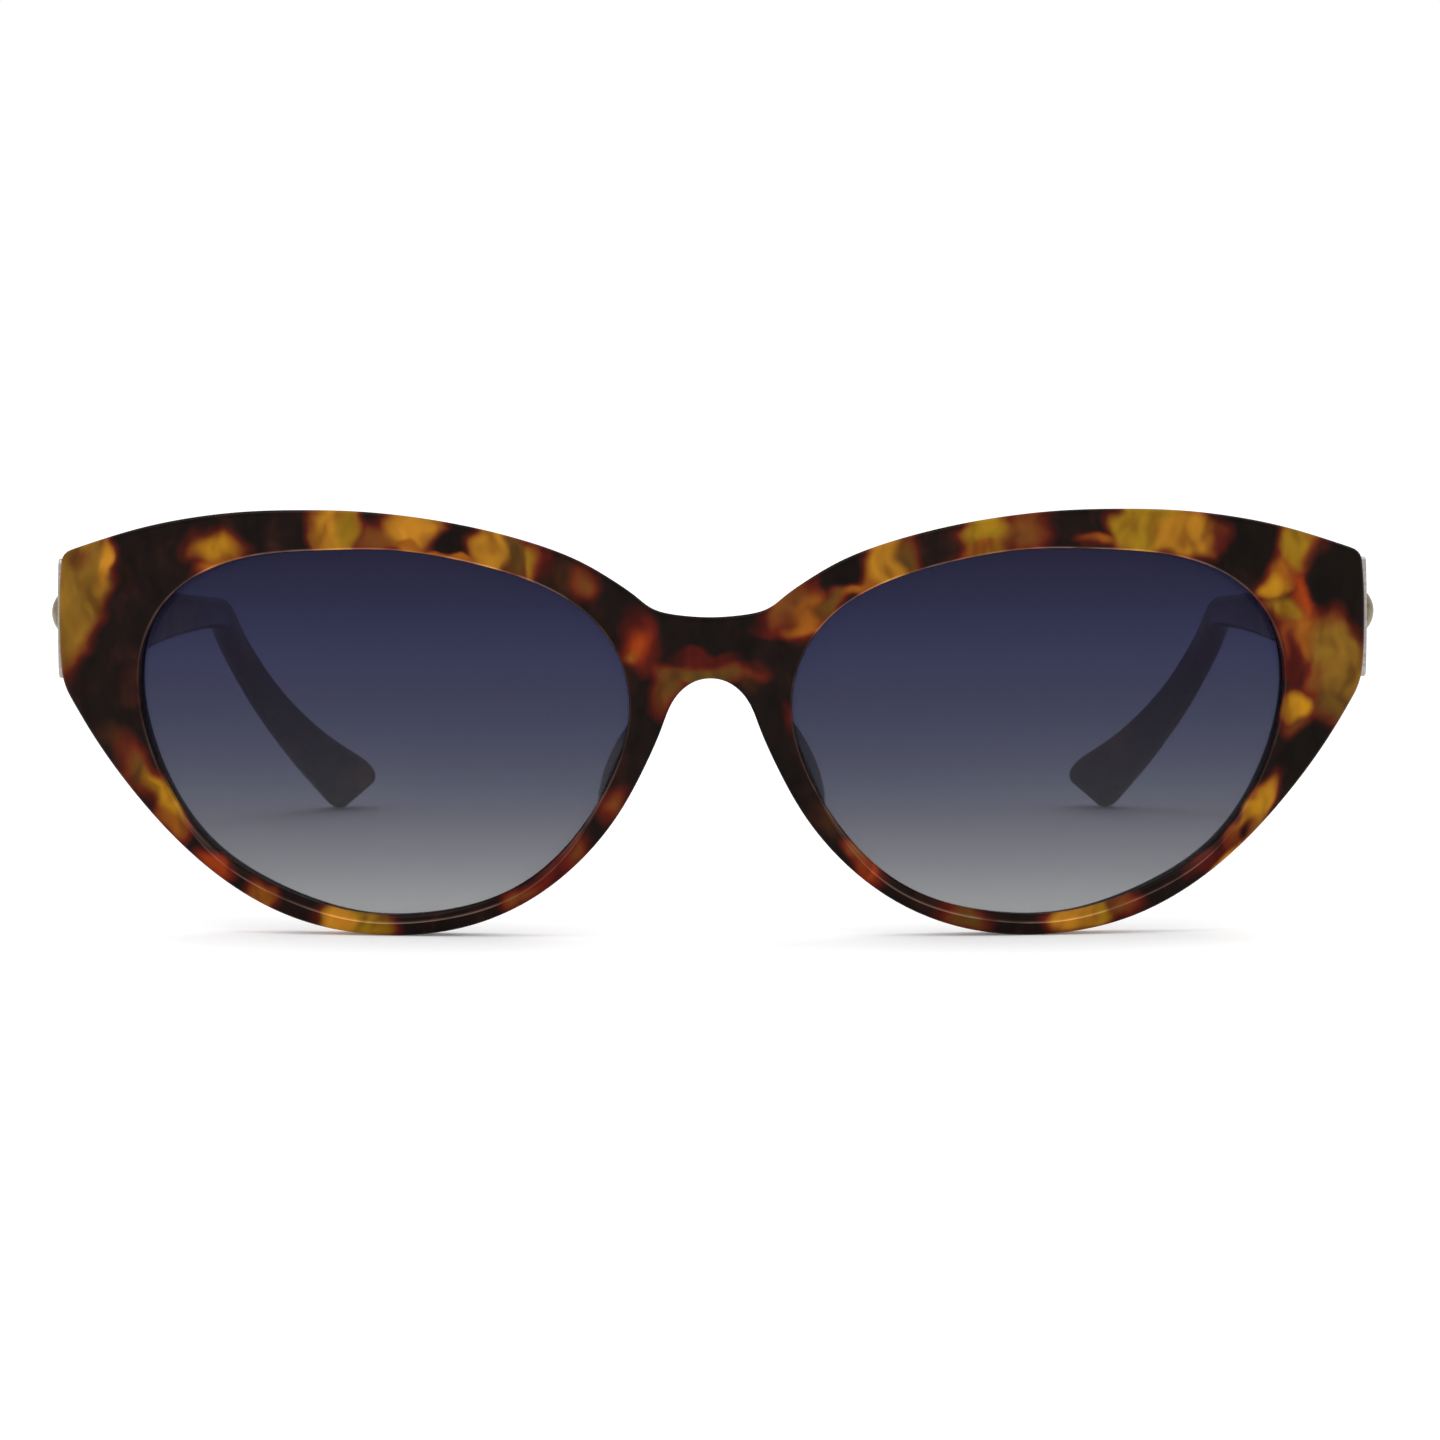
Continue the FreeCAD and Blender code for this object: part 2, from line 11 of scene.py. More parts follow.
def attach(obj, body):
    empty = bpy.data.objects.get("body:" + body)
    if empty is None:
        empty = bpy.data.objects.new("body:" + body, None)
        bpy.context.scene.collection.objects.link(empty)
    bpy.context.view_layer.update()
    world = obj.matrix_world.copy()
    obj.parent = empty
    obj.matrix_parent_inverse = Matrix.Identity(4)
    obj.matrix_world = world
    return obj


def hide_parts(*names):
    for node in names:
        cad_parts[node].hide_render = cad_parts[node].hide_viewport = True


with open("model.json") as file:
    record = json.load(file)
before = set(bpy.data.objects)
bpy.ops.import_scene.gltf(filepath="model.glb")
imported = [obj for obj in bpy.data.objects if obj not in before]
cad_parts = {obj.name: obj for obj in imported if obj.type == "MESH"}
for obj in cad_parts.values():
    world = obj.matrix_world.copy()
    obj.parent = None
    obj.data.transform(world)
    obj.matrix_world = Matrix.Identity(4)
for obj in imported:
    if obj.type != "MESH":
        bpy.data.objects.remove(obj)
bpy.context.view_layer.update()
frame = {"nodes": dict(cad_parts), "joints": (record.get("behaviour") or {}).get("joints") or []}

MM = 0.001

# ---------------------------------------------------------------- the design
# The same driving sizes as the CAD model, in millimetres.  The front is drawn in
# its own frame (x, y back, z up its face) and then leans; the temples are drawn
# in their sloping frame (x, distance behind the end piece, height off the hinge).
LEAN = math.radians(5.0)
SLOPE = math.radians(3.0)
R = 306.0
THICK = 4.0
HINGE_FACE_Y, AXIS_BACK, HINGE_X, HINGE_Z = 10.5, 1.85, 65.4, 34.0
LENS_R, LENS_T, LENS_C, LENS_BULGE = 132.0, 2.0, (35.35, 22.6), 1.5

TOP_EDGE = [(0.0, 35.08), (3.0, 35.26), (5.0, 35.58), (6.0, 35.9), (7.0, 36.5),
            (8.0, 37.33), (10.0, 38.77), (12.0, 40.03), (14.0, 41.12),
            (16.0, 42.0), (20.0, 43.35), (26.0, 44.83), (32.0, 45.8),
            (38.0, 46.32), (44.0, 46.38), (50.0, 46.12), (56.2, 45.33),
            (62.4, 43.93), (67.0, 42.45), (70.9, 41.05)]
SIDE_EDGE = [(70.9, 41.05), (71.25, 37.6), (71.4, 33.5), (71.35, 29.8), (71.1, 26.7)]
LOW_EDGE = [(71.1, 26.7), (67.95, 21.3), (62.85, 14.38), (56.75, 8.1), (50.63, 3.75),
            (44.5, 1.15), (38.4, 0.03), (32.3, 0.0), (26.2, 1.16), (20.15, 3.82),
            (14.07, 8.62), (10.03, 13.64), (7.01, 19.19), (5.2, 23.4), (4.5, 25.25),
            (3.9, 26.35), (3.0, 27.4), (1.6, 28.3), (0.0, 28.6)]
EYE = [(61.8, 21.69), (62.56, 26.46), (62.01, 31.4), (59.73, 35.88), (55.89, 39.2),
       (51.26, 41.11), (46.68, 41.93), (42.56, 42.24), (38.85, 42.41), (35.34, 42.43),
       (31.9, 42.18), (28.46, 41.65), (24.91, 40.88), (21.11, 39.81), (17.13, 38.17),
       (13.34, 35.61), (10.42, 31.96), (8.95, 27.49), (9.1, 22.76), (10.52, 18.28),
       (12.66, 14.29), (15.2, 10.79), (18.11, 7.79), (21.42, 5.45), (25.0, 3.85),
       (28.64, 2.87), (32.22, 2.32), (35.75, 2.14), (39.24, 2.41), (42.64, 3.16),
       (45.98, 4.3), (49.31, 5.78), (52.61, 7.7), (55.68, 10.27), (58.25, 13.53),
       (60.29, 17.36)]
TEMPLE = [(0.2, 69.35, 0.0, 4.30, 14.0, 0), (11.0, 69.35, 0.0, 4.30, 12.7, 0),
          (22.0, 69.35, 0.0, 4.30, 11.2, 0), (40.0, 68.45, 0.0, 4.05, 8.3, 0),
          (60.0, 66.95, 0.0, 3.75, 5.9, 0), (80.0, 65.30, 0.0, 3.50, 4.5, 0),
          (97.0, 64.20, -0.15, 3.30, 4.0, 0), (107.9, 63.10, -4.3, 3.25, 4.2, 4),
          (117.2, 60.10, -11.0, 3.30, 4.7, 14), (127.1, 55.40, -18.0, 3.50, 5.8, 32),
          (138.0, 49.30, -24.59, 3.90, 8.2, 58)]
PAD_ROWS = [(3.4, 0.0, 6.3, 1.30), (5.0, 0.05, 6.7, 1.45), (6.8, 0.2, 6.6, 1.55),
            (8.4, 0.45, 6.0, 1.50), (9.5, 0.7, 4.9, 1.20), (10.1, 0.85, 3.2, 0.70)]
PAD_MID, PAD_LEAN = (8.95, 18.9), 27.0

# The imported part's own hinge point says where the design frame stands.
left_joint = [j for j in frame["joints"] if j["name"] == "temple_left_fold"][0]
PIVOT = np.array([HINGE_X, HINGE_FACE_Y + AXIS_BACK, HINGE_Z])
SHIFT = np.array(left_joint["pos_m"]) / MM - PIVOT


def turn_x(p, a, about=(0.0, 0.0, 0.0)):
    p = np.asarray(p, float) - np.array(about)
    c, s = math.cos(a), math.sin(a)
    q = np.stack([p[..., 0], c * p[..., 1] - s * p[..., 2],
                  s * p[..., 1] + c * p[..., 2]], -1)
    return q + np.array(about)


def front_to_row(p):
    return (turn_x(p, LEAN) + SHIFT) * MM


def temple_to_row(p):
    p = np.asarray(p, float) + np.array([0.0, HINGE_FACE_Y, HINGE_Z])
    return (turn_x(p, -SLOPE, PIVOT) + SHIFT) * MM


def flip(p):
    q = np.array(p, float)
    q[..., 0] *= -1
    return q


# ------------------------------------------------------------------- helpers
def spline(points, n_per=24, periodic=False):
    """A dense cubic spline through the points, by chord length."""
    p = np.array(points, float)
    if periodic:
        p = np.vstack([p, p[:1]])
    h = np.hypot(*(p[1:] - p[:-1]).T)
    n = len(p)
    a = np.zeros((n, n))
    b = np.zeros((n, 2))
    if periodic:
        m = n - 1
        for i in range(m):
            hp, hn = h[i - 1], h[i]
            a[i, (i - 1) % m] += hp
            a[i, i] += 2 * (hp + hn)
            a[i, (i + 1) % m] += hn
            nxt = p[i + 1]
            prv = p[i - 1] if i > 0 else p[m - 1]
            b[i] = 6 * ((nxt - p[i]) / hn - (p[i] - prv) / hp)
        k = np.linalg.solve(a[:m, :m], b[:m])
        k = np.vstack([k, k[:1]])
    else:
        a[0, 0] = a[-1, -1] = 1
        for i in range(1, n - 1):
            a[i, i - 1], a[i, i], a[i, i + 1] = h[i - 1], 2 * (h[i - 1] + h[i]), h[i]
            b[i] = 6 * ((p[i + 1] - p[i]) / h[i] - (p[i] - p[i - 1]) / h[i - 1])
        k = np.linalg.solve(a, b)
    out = []
    for i in range(n - 1):
        for j in range(n_per):
            t = j / n_per
            u = 1 - t
            hh = h[i]
            out.append(u * p[i] + t * p[i + 1]
                       + hh * hh / 6 * ((u ** 3 - u) * k[i] + (t ** 3 - t) * k[i + 1]))
    if not periodic:
        out.append(p[-1])
    return np.array(out)


def resample(pts, step=None, count=None, closed=False):
    p = np.vstack([pts, pts[:1]]) if closed else np.array(pts)
    d = np.hypot(*(p[1:] - p[:-1]).T)
    s = np.concatenate([[0], np.cumsum(d)])
    n = count or int(round(s[-1] / step))
    t = np.linspace(0, s[-1], n + 1)
    if closed:
        t = t[:-1]
    return np.stack([np.interp(t, s, p[:, 0]), np.interp(t, s, p[:, 1])], -1)


def soften(pts, rounds):
    for _ in range(rounds):
        pts = 0.25 * np.roll(pts, 1, 0) + 0.5 * pts + 0.25 * np.roll(pts, -1, 0)
    return pts


def normals_of(loop):
    """Left-hand normals of a closed loop (inwards on a counter-clockwise one)."""
    t = np.roll(loop, -1, 0) - np.roll(loop, 1, 0)
    t /= np.linalg.norm(t, axis=1)[:, None]
    return np.stack([-t[:, 1], t[:, 0]], -1)


def round_corner(a, b, cut):
    """Joins curve a to curve b with a smooth round that starts `cut` before the corner."""
    def cut_back(c, from_end):
        c = c if from_end else c[::-1]
        d = np.hypot(*(c[1:] - c[:-1]).T)
        s = np.concatenate([[0], np.cumsum(d)])
        keep = s < s[-1] - cut
        end = np.array([np.interp(s[-1] - cut, s, c[:, 0]), np.interp(s[-1] - cut, s, c[:, 1])])
        out = np.vstack([c[keep], end])
        return out if from_end else out[::-1]
    corner = a[-1]
    a2, b2 = cut_back(a, True), cut_back(b, False)
    p0, p3 = a2[-1], b2[0]
    k = 0.60
    p1, p2 = p0 + (corner - p0) * k, p3 + (corner - p3) * k
    t = np.linspace(0, 1, 18)[1:-1, None]
    arc = (1 - t) ** 3 * p0 + 3 * (1 - t) ** 2 * t * p1 + 3 * (1 - t) * t * t * p2 + t ** 3 * p3
    return a2, arc, b2


def inside(pts, loop):
    """Even-odd test of many points against one closed loop."""
    x, y = pts[:, 0][:, None], pts[:, 1][:, None]
    x0, y0 = loop[:, 0][None], loop[:, 1][None]
    x1, y1 = np.roll(loop[:, 0], -1)[None], np.roll(loop[:, 1], -1)[None]
    hit = ((y0 > y) != (y1 > y)) & (x < (x1 - x0) * (y - y0) / (y1 - y0 + 1e-30) + x0)
    return hit.sum(1) % 2 == 1


def near(pts, loop):
    out = np.empty(len(pts))
    for i in range(0, len(pts), 400):
        d = pts[i:i + 400, None, :] - loop[None]
        out[i:i + 400] = np.sqrt((d * d).sum(2).min(1))
    return out


def mesh_piece(name, verts, faces, weld=None, smooth=True, sharp=None, painted_highlight=None, finish=None):
    me = bpy.data.meshes.new(name)
    me.from_pydata([tuple(v) for v in verts], [], [tuple(int(i) for i in f) for f in faces])
    # painted highlight strength per vertex, read by the tortoise material to lighten edge lines
    if painted_highlight is not None:
        at = me.attributes.new("painted_edge_highlight", "FLOAT", "POINT")
        at.data.foreach_set("value", np.asarray(painted_highlight, dtype=np.float32))
    if finish is not None:
        me.polygons.foreach_set("material_index", np.asarray(finish, dtype=np.int32))
    bm = bmesh.new()
    bm.from_mesh(me)
    if weld:
        bmesh.ops.remove_doubles(bm, verts=bm.verts, dist=weld)
    bmesh.ops.recalc_face_normals(bm, faces=bm.faces)
    for f in bm.faces:
        f.smooth = smooth
    if sharp:
        for e in bm.edges:
            if len(e.link_faces) == 2 and e.calc_face_angle(0) > math.radians(sharp):
                e.smooth = False
    bm.to_mesh(me)
    bm.free()
    ob = bpy.data.objects.new(name, me)
    bpy.context.scene.collection.objects.link(ob)
    return ob


def grid_faces(rows, cols, closed=True, offset=0, skip=None):
    out = []
    for i in range(rows - 1):
        for j in range(cols if closed else cols - 1):
            k = (j + 1) % cols
            out.append((offset + i * cols + j, offset + i * cols + k,
                        offset + (i + 1) * cols + k, offset + (i + 1) * cols + j))
    return out


# --------------------------------------------------------------------- front
FRONT_R_EDGE, REAR_R_EDGE = 0.5, 0.6


def y_front(x):
    return R - np.sqrt(R * R - x * x)


def y_rear_plate(x):
    return R - np.sqrt((R - THICK) ** 2 - x * x)


def smoothstep(t):
    t = np.clip(t, 0, 1)
    return t * t * (3 - 2 * t)


T8 = math.tan(LEAN + SLOPE)
Y_T0 = ((PIVOT[1] * math.cos(SLOPE) - PIVOT[2] * math.sin(SLOPE) - AXIS_BACK)
        / math.cos(LEAN + SLOPE))


def y_rear(x, z):
    """Rear surface: the plate's, raised to the hinge face over the end pieces."""
    ax = np.abs(x)
    w = (smoothstep((ax - 62.85) / 0.6) * smoothstep((z - 27.25) / 0.6)
         * smoothstep((41.2 - z) / 0.6))
    hinge_face = z * T8 + Y_T0 - 0.05
    plate = y_rear_plate(x)
    return plate + w * np.maximum(hinge_face - plate, 0)


top = spline([(-x, z) for x, z in TOP_EDGE[:0:-1]] + TOP_EDGE)[::-1]      # right to left
low = spline(LOW_EDGE + [(-x, z) for x, z in LOW_EDGE[-2::-1]])[::-1]     # left to right
side_r = spline(SIDE_EDGE)[::-1]                                        # up
side_l = flip(spline(SIDE_EDGE))                                        # down
a, c1, b = round_corner(side_r, top, 0.95)
b, c2, c = round_corner(b, side_l, 0.95)
c, c3, d = round_corner(c, low, 1.4)
d, c4, a = round_corner(d, a, 1.4)
OUTER = np.vstack([a, c1, b, c2, c, c3, d, c4])
keep = np.hypot(*(OUTER - np.roll(OUTER, 1, 0)).T) > 1e-6
OUTER = resample(OUTER[keep], step=0.40, closed=True)
OUTER = 0.5 * (OUTER + resample(soften(OUTER, 3), count=len(OUTER), closed=True))
OUTER_N = normals_of(OUTER)

EYE_R = resample(spline(EYE, periodic=True), step=0.42, closed=True)
EYE_L = flip(EYE_R)[::-1]


def rim_strip():
    """Rows of points round the outer edge, from the front face to the rear face."""
    rows = []
    rf, rr = FRONT_R_EDGE, REAR_R_EDGE
    prof = [(rf + 0.07, 0.0, 0)]
    for i in range(9):
        a = math.pi / 2 * i / 8
        prof.append((rf * (1 - math.sin(a)), rf * (1 - math.cos(a)), 0))
    prof.append((0.0, 0.5, 1))
    for i in range(7):
        a = math.pi / 2 * i / 6
        prof.append((rr * (1 - math.cos(a)), -rr * (1 - math.sin(a)), 2))
    prof.append((rr + 0.07, 0.0, 2))
    up = np.maximum(-OUTER_N[:, 1], 0.0)
    for inset, depth, kind in prof:
        base = inset + 0.012 - 0.235 * up
        p = OUTER + OUTER_N * (base[:, None])
        for turn in range(3):
            yf = y_front(p[:, 0])
            yr = y_rear(p[:, 0], p[:, 1])
            if kind == 0:
                y = yf + depth
            elif kind == 1:
                y = yf + rf + (yr - rr - yf - rf) * depth
            else:
                y = yr + depth
            # the brow's edge is drafted, so its rear side stands lower than its front
            draft = 0.165 * np.maximum(y - yf - 0.5, 0.0) * up
            if turn < 2:
                p = OUTER + OUTER_N * ((base + draft)[:, None])
        rows.append(np.stack([p[:, 0], y, p[:, 1]], -1))
    return rows


def eye_strip(loop):
    """Rows round an eyewire opening: eased edge, wall, lens groove, wall, rounding.

    The eased edge widens into a polished bevel along the lower rim. Also returns a painted highlight strength
    for each row: a line mid-round along the top edge and one at the bevel's outer edge below, strongest where
    the edge faces up or down.
    """
    rows, painted_highlight = [], []
    nrm = normals_of(loop)
    if not inside((loop + nrm * 0.5)[:1], loop)[0]:
        nrm = -nrm
    low_side = smoothstep((17.0 - loop[:, 1]) / 12.0)
    wide = 0.27 + 0.60 * low_side
    deep = 0.30 + 0.28 * low_side
    prof = [(1.0, 0.0, 1, 0.0)]
    n = 8
    for i in range(n + 1):
        t = i / n
        a = math.pi / 2 * t
        arc = np.array([1 - math.sin(a), 1 - math.cos(a)])
        # bevel: a short round, a straight slope, a short round
        slope = np.array([1 - t, t ** 1.15])
        mixed = arc * 0.45 + slope * 0.55
        prof.append((mixed[0], mixed[1], 2, t))
    prof += [(0.0, 0.88, 0, 0.0), (0.03, 0.92, 0, 0), (0.66, 0.94, 0, 0), (0.66, 3.06, 0, 0),
             (0.40, 3.08, 0, 0), (0.38, 3.12, 0, 0)]
    for i in range(6):
        a = math.pi / 2 * i / 5
        prof.append((0.42 + 0.42 * (1 - math.cos(a)), THICK - 0.55 * (1 - math.sin(a)), 0, 0))
    prof.append((0.91, THICK, 0, 0))
    for out, depth, kind, lit in prof:
        o = wide * out + (0.06 if kind == 1 else 0.0) if kind else out
        d = deep * depth if kind else np.full(len(loop), depth)
        p = loop - nrm * (o[:, None] if kind else o)
        q = p[:, 0] / R
        rad = R - d
        rows.append(np.stack([rad * q, R - rad * np.sqrt(1 - q * q), p[:, 1]], -1))
        # painted highlight: a light line mid-round along the top and at the bevel's outer edge along the
        # lower rim, stronger where the edge faces up or down
        if kind == 2:
            highlight_facing = 0.12 + 0.88 * np.abs(nrm[:, 1]) ** 1.5
            top_highlight_line = np.exp(-((lit - 0.5) / 0.30) ** 2) * (1 - low_side) * highlight_facing
            low_highlight_line = np.exp(-((lit - 0.0) / 0.10) ** 2) * low_side * highlight_facing
            painted_highlight.append(top_highlight_line * 1.0 + low_highlight_line * 0.9)
        else:
            painted_highlight.append(np.zeros(len(loop)))
    return rows, painted_highlight


def skin(outer_loop, holes, lift, extra=None, step=1.1):
    """Fills between an outer loop and its holes with small triangles, and lifts them."""
    xs = np.arange(-72, 72.01, step)
    zs = np.arange(-1, 48, step * 0.866)
    g = np.array([(x + (step / 2 if k % 2 else 0), z) for k, z in enumerate(zs) for x in xs])
    if extra is not None:
        clear = near(g, extra) > 0.35
        g = np.vstack([g[clear], extra])
    ok = inside(g, outer_loop) & (near(g, outer_loop) > 0.22)
    for h in holes:
        ok &= ~inside(g, h) & (near(g, h) > 0.22)
    g = g[ok]
    pts = [outer_loop] + list(holes)
    verts = np.vstack(pts + [g])
    edges = []
    at = 0
    for p in pts:
        n = len(p)
        edges += [(at + i, at + (i + 1) % n) for i in range(n)]
        at += n
    out = delaunay_2d_cdt([Vector(v) for v in verts], edges, [], 0, 1e-7)
    v2 = np.array([(v.x, v.y) for v in out[0]])
    tris = np.array([f[:3] for f in out[2]])
    mid = v2[tris].mean(1)
    good = inside(mid, outer_loop)
    for h in holes:
        good &= ~inside(mid, h)
    tris = tris[good]
    y = lift(v2[:, 0], v2[:, 1])
    return np.stack([v2[:, 0], y, v2[:, 1]], -1), tris


def build_front():
    verts, faces, painted_highlight_parts = [], [], []
    n = 0

    def add(v, f):
        nonlocal n
        verts.append(np.asarray(v))
        faces.extend([tuple(int(i) + n for i in q) for q in f])
        n += len(v)

    rim = rim_strip()
    add(np.vstack(rim), grid_faces(len(rim), len(OUTER)))
    # the sawn and tumbled wall round the outside is duller than the polished faces
    finish = []
    for i in range(len(rim) - 1):
        finish += [1 if 7 <= i <= 14 else 0] * len(OUTER)
    painted_highlight_parts.append(np.zeros(len(rim) * len(OUTER)))
    eyes = []
    for loop in (EYE_R, EYE_L):
        rows, painted_highlight = eye_strip(loop)
        eyes.append(rows)
        add(np.vstack(rows), grid_faces(len(rows), len(loop)))
        # painted highlight strengths of the eye edges
        painted_highlight_parts.append(np.concatenate(painted_highlight))
    # front face
    v, t = skin(rim[0][:, [0, 2]], [e[0][:, [0, 2]] for e in eyes],
                lambda x, z: y_front(x))
    add(v, t)
    painted_highlight_parts.append(np.zeros(len(v)))
    # rear face, with close rows where it steps up to the hinge faces
    steps = []
    for side in (-1, 1):
        for u in np.linspace(62.55, 63.75, 9):
            steps += [(side * u, z) for z in np.arange(26.6, 42.8, 0.32)]
        for u in list(np.linspace(26.95, 28.1, 8)) + list(np.linspace(40.45, 41.5, 8)):
            steps += [(side * x, u) for x in np.arange(63.95, 71.6, 0.32)]
    v, t = skin(rim[-1][:, [0, 2]], [e[-1][:, [0, 2]] for e in eyes],
                y_rear, extra=np.array(steps))
    add(v, t)
    painted_highlight_parts.append(np.zeros(len(v)))
    finish += [0] * (len(faces) - len(finish))
    hair = np.array([0.0, 0.056, 0.006])      # stays a hair inside the CAD faces
    return front_to_row(np.vstack(verts) + hair), faces, np.concatenate(painted_highlight_parts), finish


fv, ff, front_painted_highlight, f_finish = build_front()
front = mesh_piece("front_acetate", fv, ff, weld=2e-7, painted_highlight=front_painted_highlight, finish=f_finish)
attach(front, "front")
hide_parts("front_frame")


# -------------------------------------------------------------------- lenses
def build_lens():
    nrm = normals_of(EYE_R)
    cx, cz = LENS_C
    sag = float(y_front(np.array(cx)))
    tilt = math.asin(cx / R)
    mid_r = LENS_R - LENS_T / 2
    ball = np.array([cx, sag + THICK / 2 - LENS_BULGE, cz]) + mid_r * np.array(
        [-math.sin(tilt), math.cos(tilt), 0])
    edge = EYE_R - nrm * 0.5
    edge = edge * np.array([(R - 2.0) / R, 1.0])
    edge = resample(edge, count=220, closed=True)
    rings = 30
    verts, faces = [], []

    def y_of(x, z, rad):
        return ball[1] - np.sqrt(rad * rad - (x - ball[0]) ** 2 - (z - ball[2]) ** 2)

    def face(rad, inset):
        rows = []
        for k in range(1, rings + 1):
            t = k / rings
            p = np.array([cx, cz]) + (edge - np.array([cx, cz])) * t
            if k == rings:
                p = p + normals_of(edge) * inset
            rows.append(np.stack([p[:, 0], y_of(p[:, 0], p[:, 1], rad), p[:, 1]], -1))
        return rows

    front_rows = face(LENS_R, 0.12)
    rear_rows = face(LENS_R - LENS_T, 0.12)
    edge_f = np.stack([edge[:, 0], y_of(edge[:, 0], edge[:, 1], LENS_R) + 0.12, edge[:, 1]], -1)
    edge_r = np.stack([edge[:, 0], y_of(edge[:, 0], edge[:, 1], LENS_R - LENS_T) - 0.12,
                       edge[:, 1]], -1)
    rows = front_rows + [edge_f, edge_r] + rear_rows[::-1]
    verts = np.vstack(rows)
    faces = grid_faces(len(rows), len(edge))
    m = len(edge)
    c0, c1 = len(verts), len(verts) + 1
    verts = np.vstack([verts, [[cx, y_of(cx, cz, LENS_R), cz], [cx, y_of(cx, cz, LENS_R - LENS_T), cz]]])
    faces += [(c0, j, (j + 1) % m) for j in range(m)]
    last = (len(rows) - 1) * m
    faces += [(c1, last + (j + 1) % m, last + j) for j in range(m)]
    return verts, faces


lv, lf = build_lens()
lenses = {}
for side, s in (("left", 1), ("right", -1)):
    ob = mesh_piece("lens_tinted_" + side, front_to_row(lv if s > 0 else flip(lv)), lf, sharp=50)
    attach(ob, "front")
    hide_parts("lens_" + side)
    lenses[side] = ob


# ------------------------------------------------------------------- temples
def table_at(table, value, column):
    xs = [r[0] for r in table]
    ys = [r[column] for r in table]
    n = len(xs)
    d = [(ys[i + 1] - ys[i]) / (xs[i + 1] - xs[i]) for i in range(n - 1)]
    m = [d[0]] + [0.0] * (n - 2) + [d[-1]]
    for i in range(1, n - 1):
        if d[i - 1] * d[i] > 0:
            w1 = 2 * (xs[i + 1] - xs[i]) + (xs[i] - xs[i - 1])
            w2 = (xs[i + 1] - xs[i]) + 2 * (xs[i] - xs[i - 1])
            m[i] = (w1 + w2) / (w1 / d[i - 1] + w2 / d[i])
    value = min(max(value, xs[0]), xs[-1])
    i = 0
    while i < n - 2 and value > xs[i + 1]:
        i += 1
    h = xs[i + 1] - xs[i]
    t = (value - xs[i]) / h
    return ((2 * t ** 3 - 3 * t ** 2 + 1) * ys[i] + (t ** 3 - 2 * t ** 2 + t) * h * m[i]
            + (-2 * t ** 3 + 3 * t ** 2) * ys[i + 1] + (t ** 3 - t ** 2) * h * m[i + 1])


def centre(s):
    return np.array([table_at(TEMPLE, s, 1), s, table_at(TEMPLE, s, 2)])


def frame_at(s):
    if s < 22.0:
        return np.array([1.0, 0, 0]), np.array([0, 0, 1.0])
    d = centre(min(s + 0.8, 138.0)) - centre(max(s - 0.8, 22.0 - 0.8))
    d /= np.linalg.norm(d)
    x = np.array([1.0, 0, 0])
    t = x - d * (x @ d)
    t /= np.linalg.norm(t)
    w = np.cross(t, d)
    turn = math.radians(table_at(TEMPLE, s, 5))
    c, q = math.cos(turn), math.sin(turn)
    return t * c + w * q, w * c - t * q


def ring_shape(ht, hw, r, seg=7, side=4):
    """Rounded rectangle, counter-clockwise, the same number of points for any size."""
    pts = []
    corners = [((ht - r), (hw - r), 0), (-(ht - r), (hw - r), 90),
               (-(ht - r), -(hw - r), 180), ((ht - r), -(hw - r), 270)]
    for k, (cx, cy, a0) in enumerate(corners):
        for i in range(seg + 1):
            a = math.radians(a0 + 90 * i / seg)
            pts.append((cx + r * math.cos(a), cy + r * math.sin(a)))
        nx, ny, na = corners[(k + 1) % 4]
        a = math.radians(na)
        end = np.array(pts[-1])
        start = np.array([nx + r * math.cos(a), ny + r * math.sin(a)])
        for i in range(1, side):
            pts.append(tuple(end + (start - end) * i / side))
    return np.array(pts)


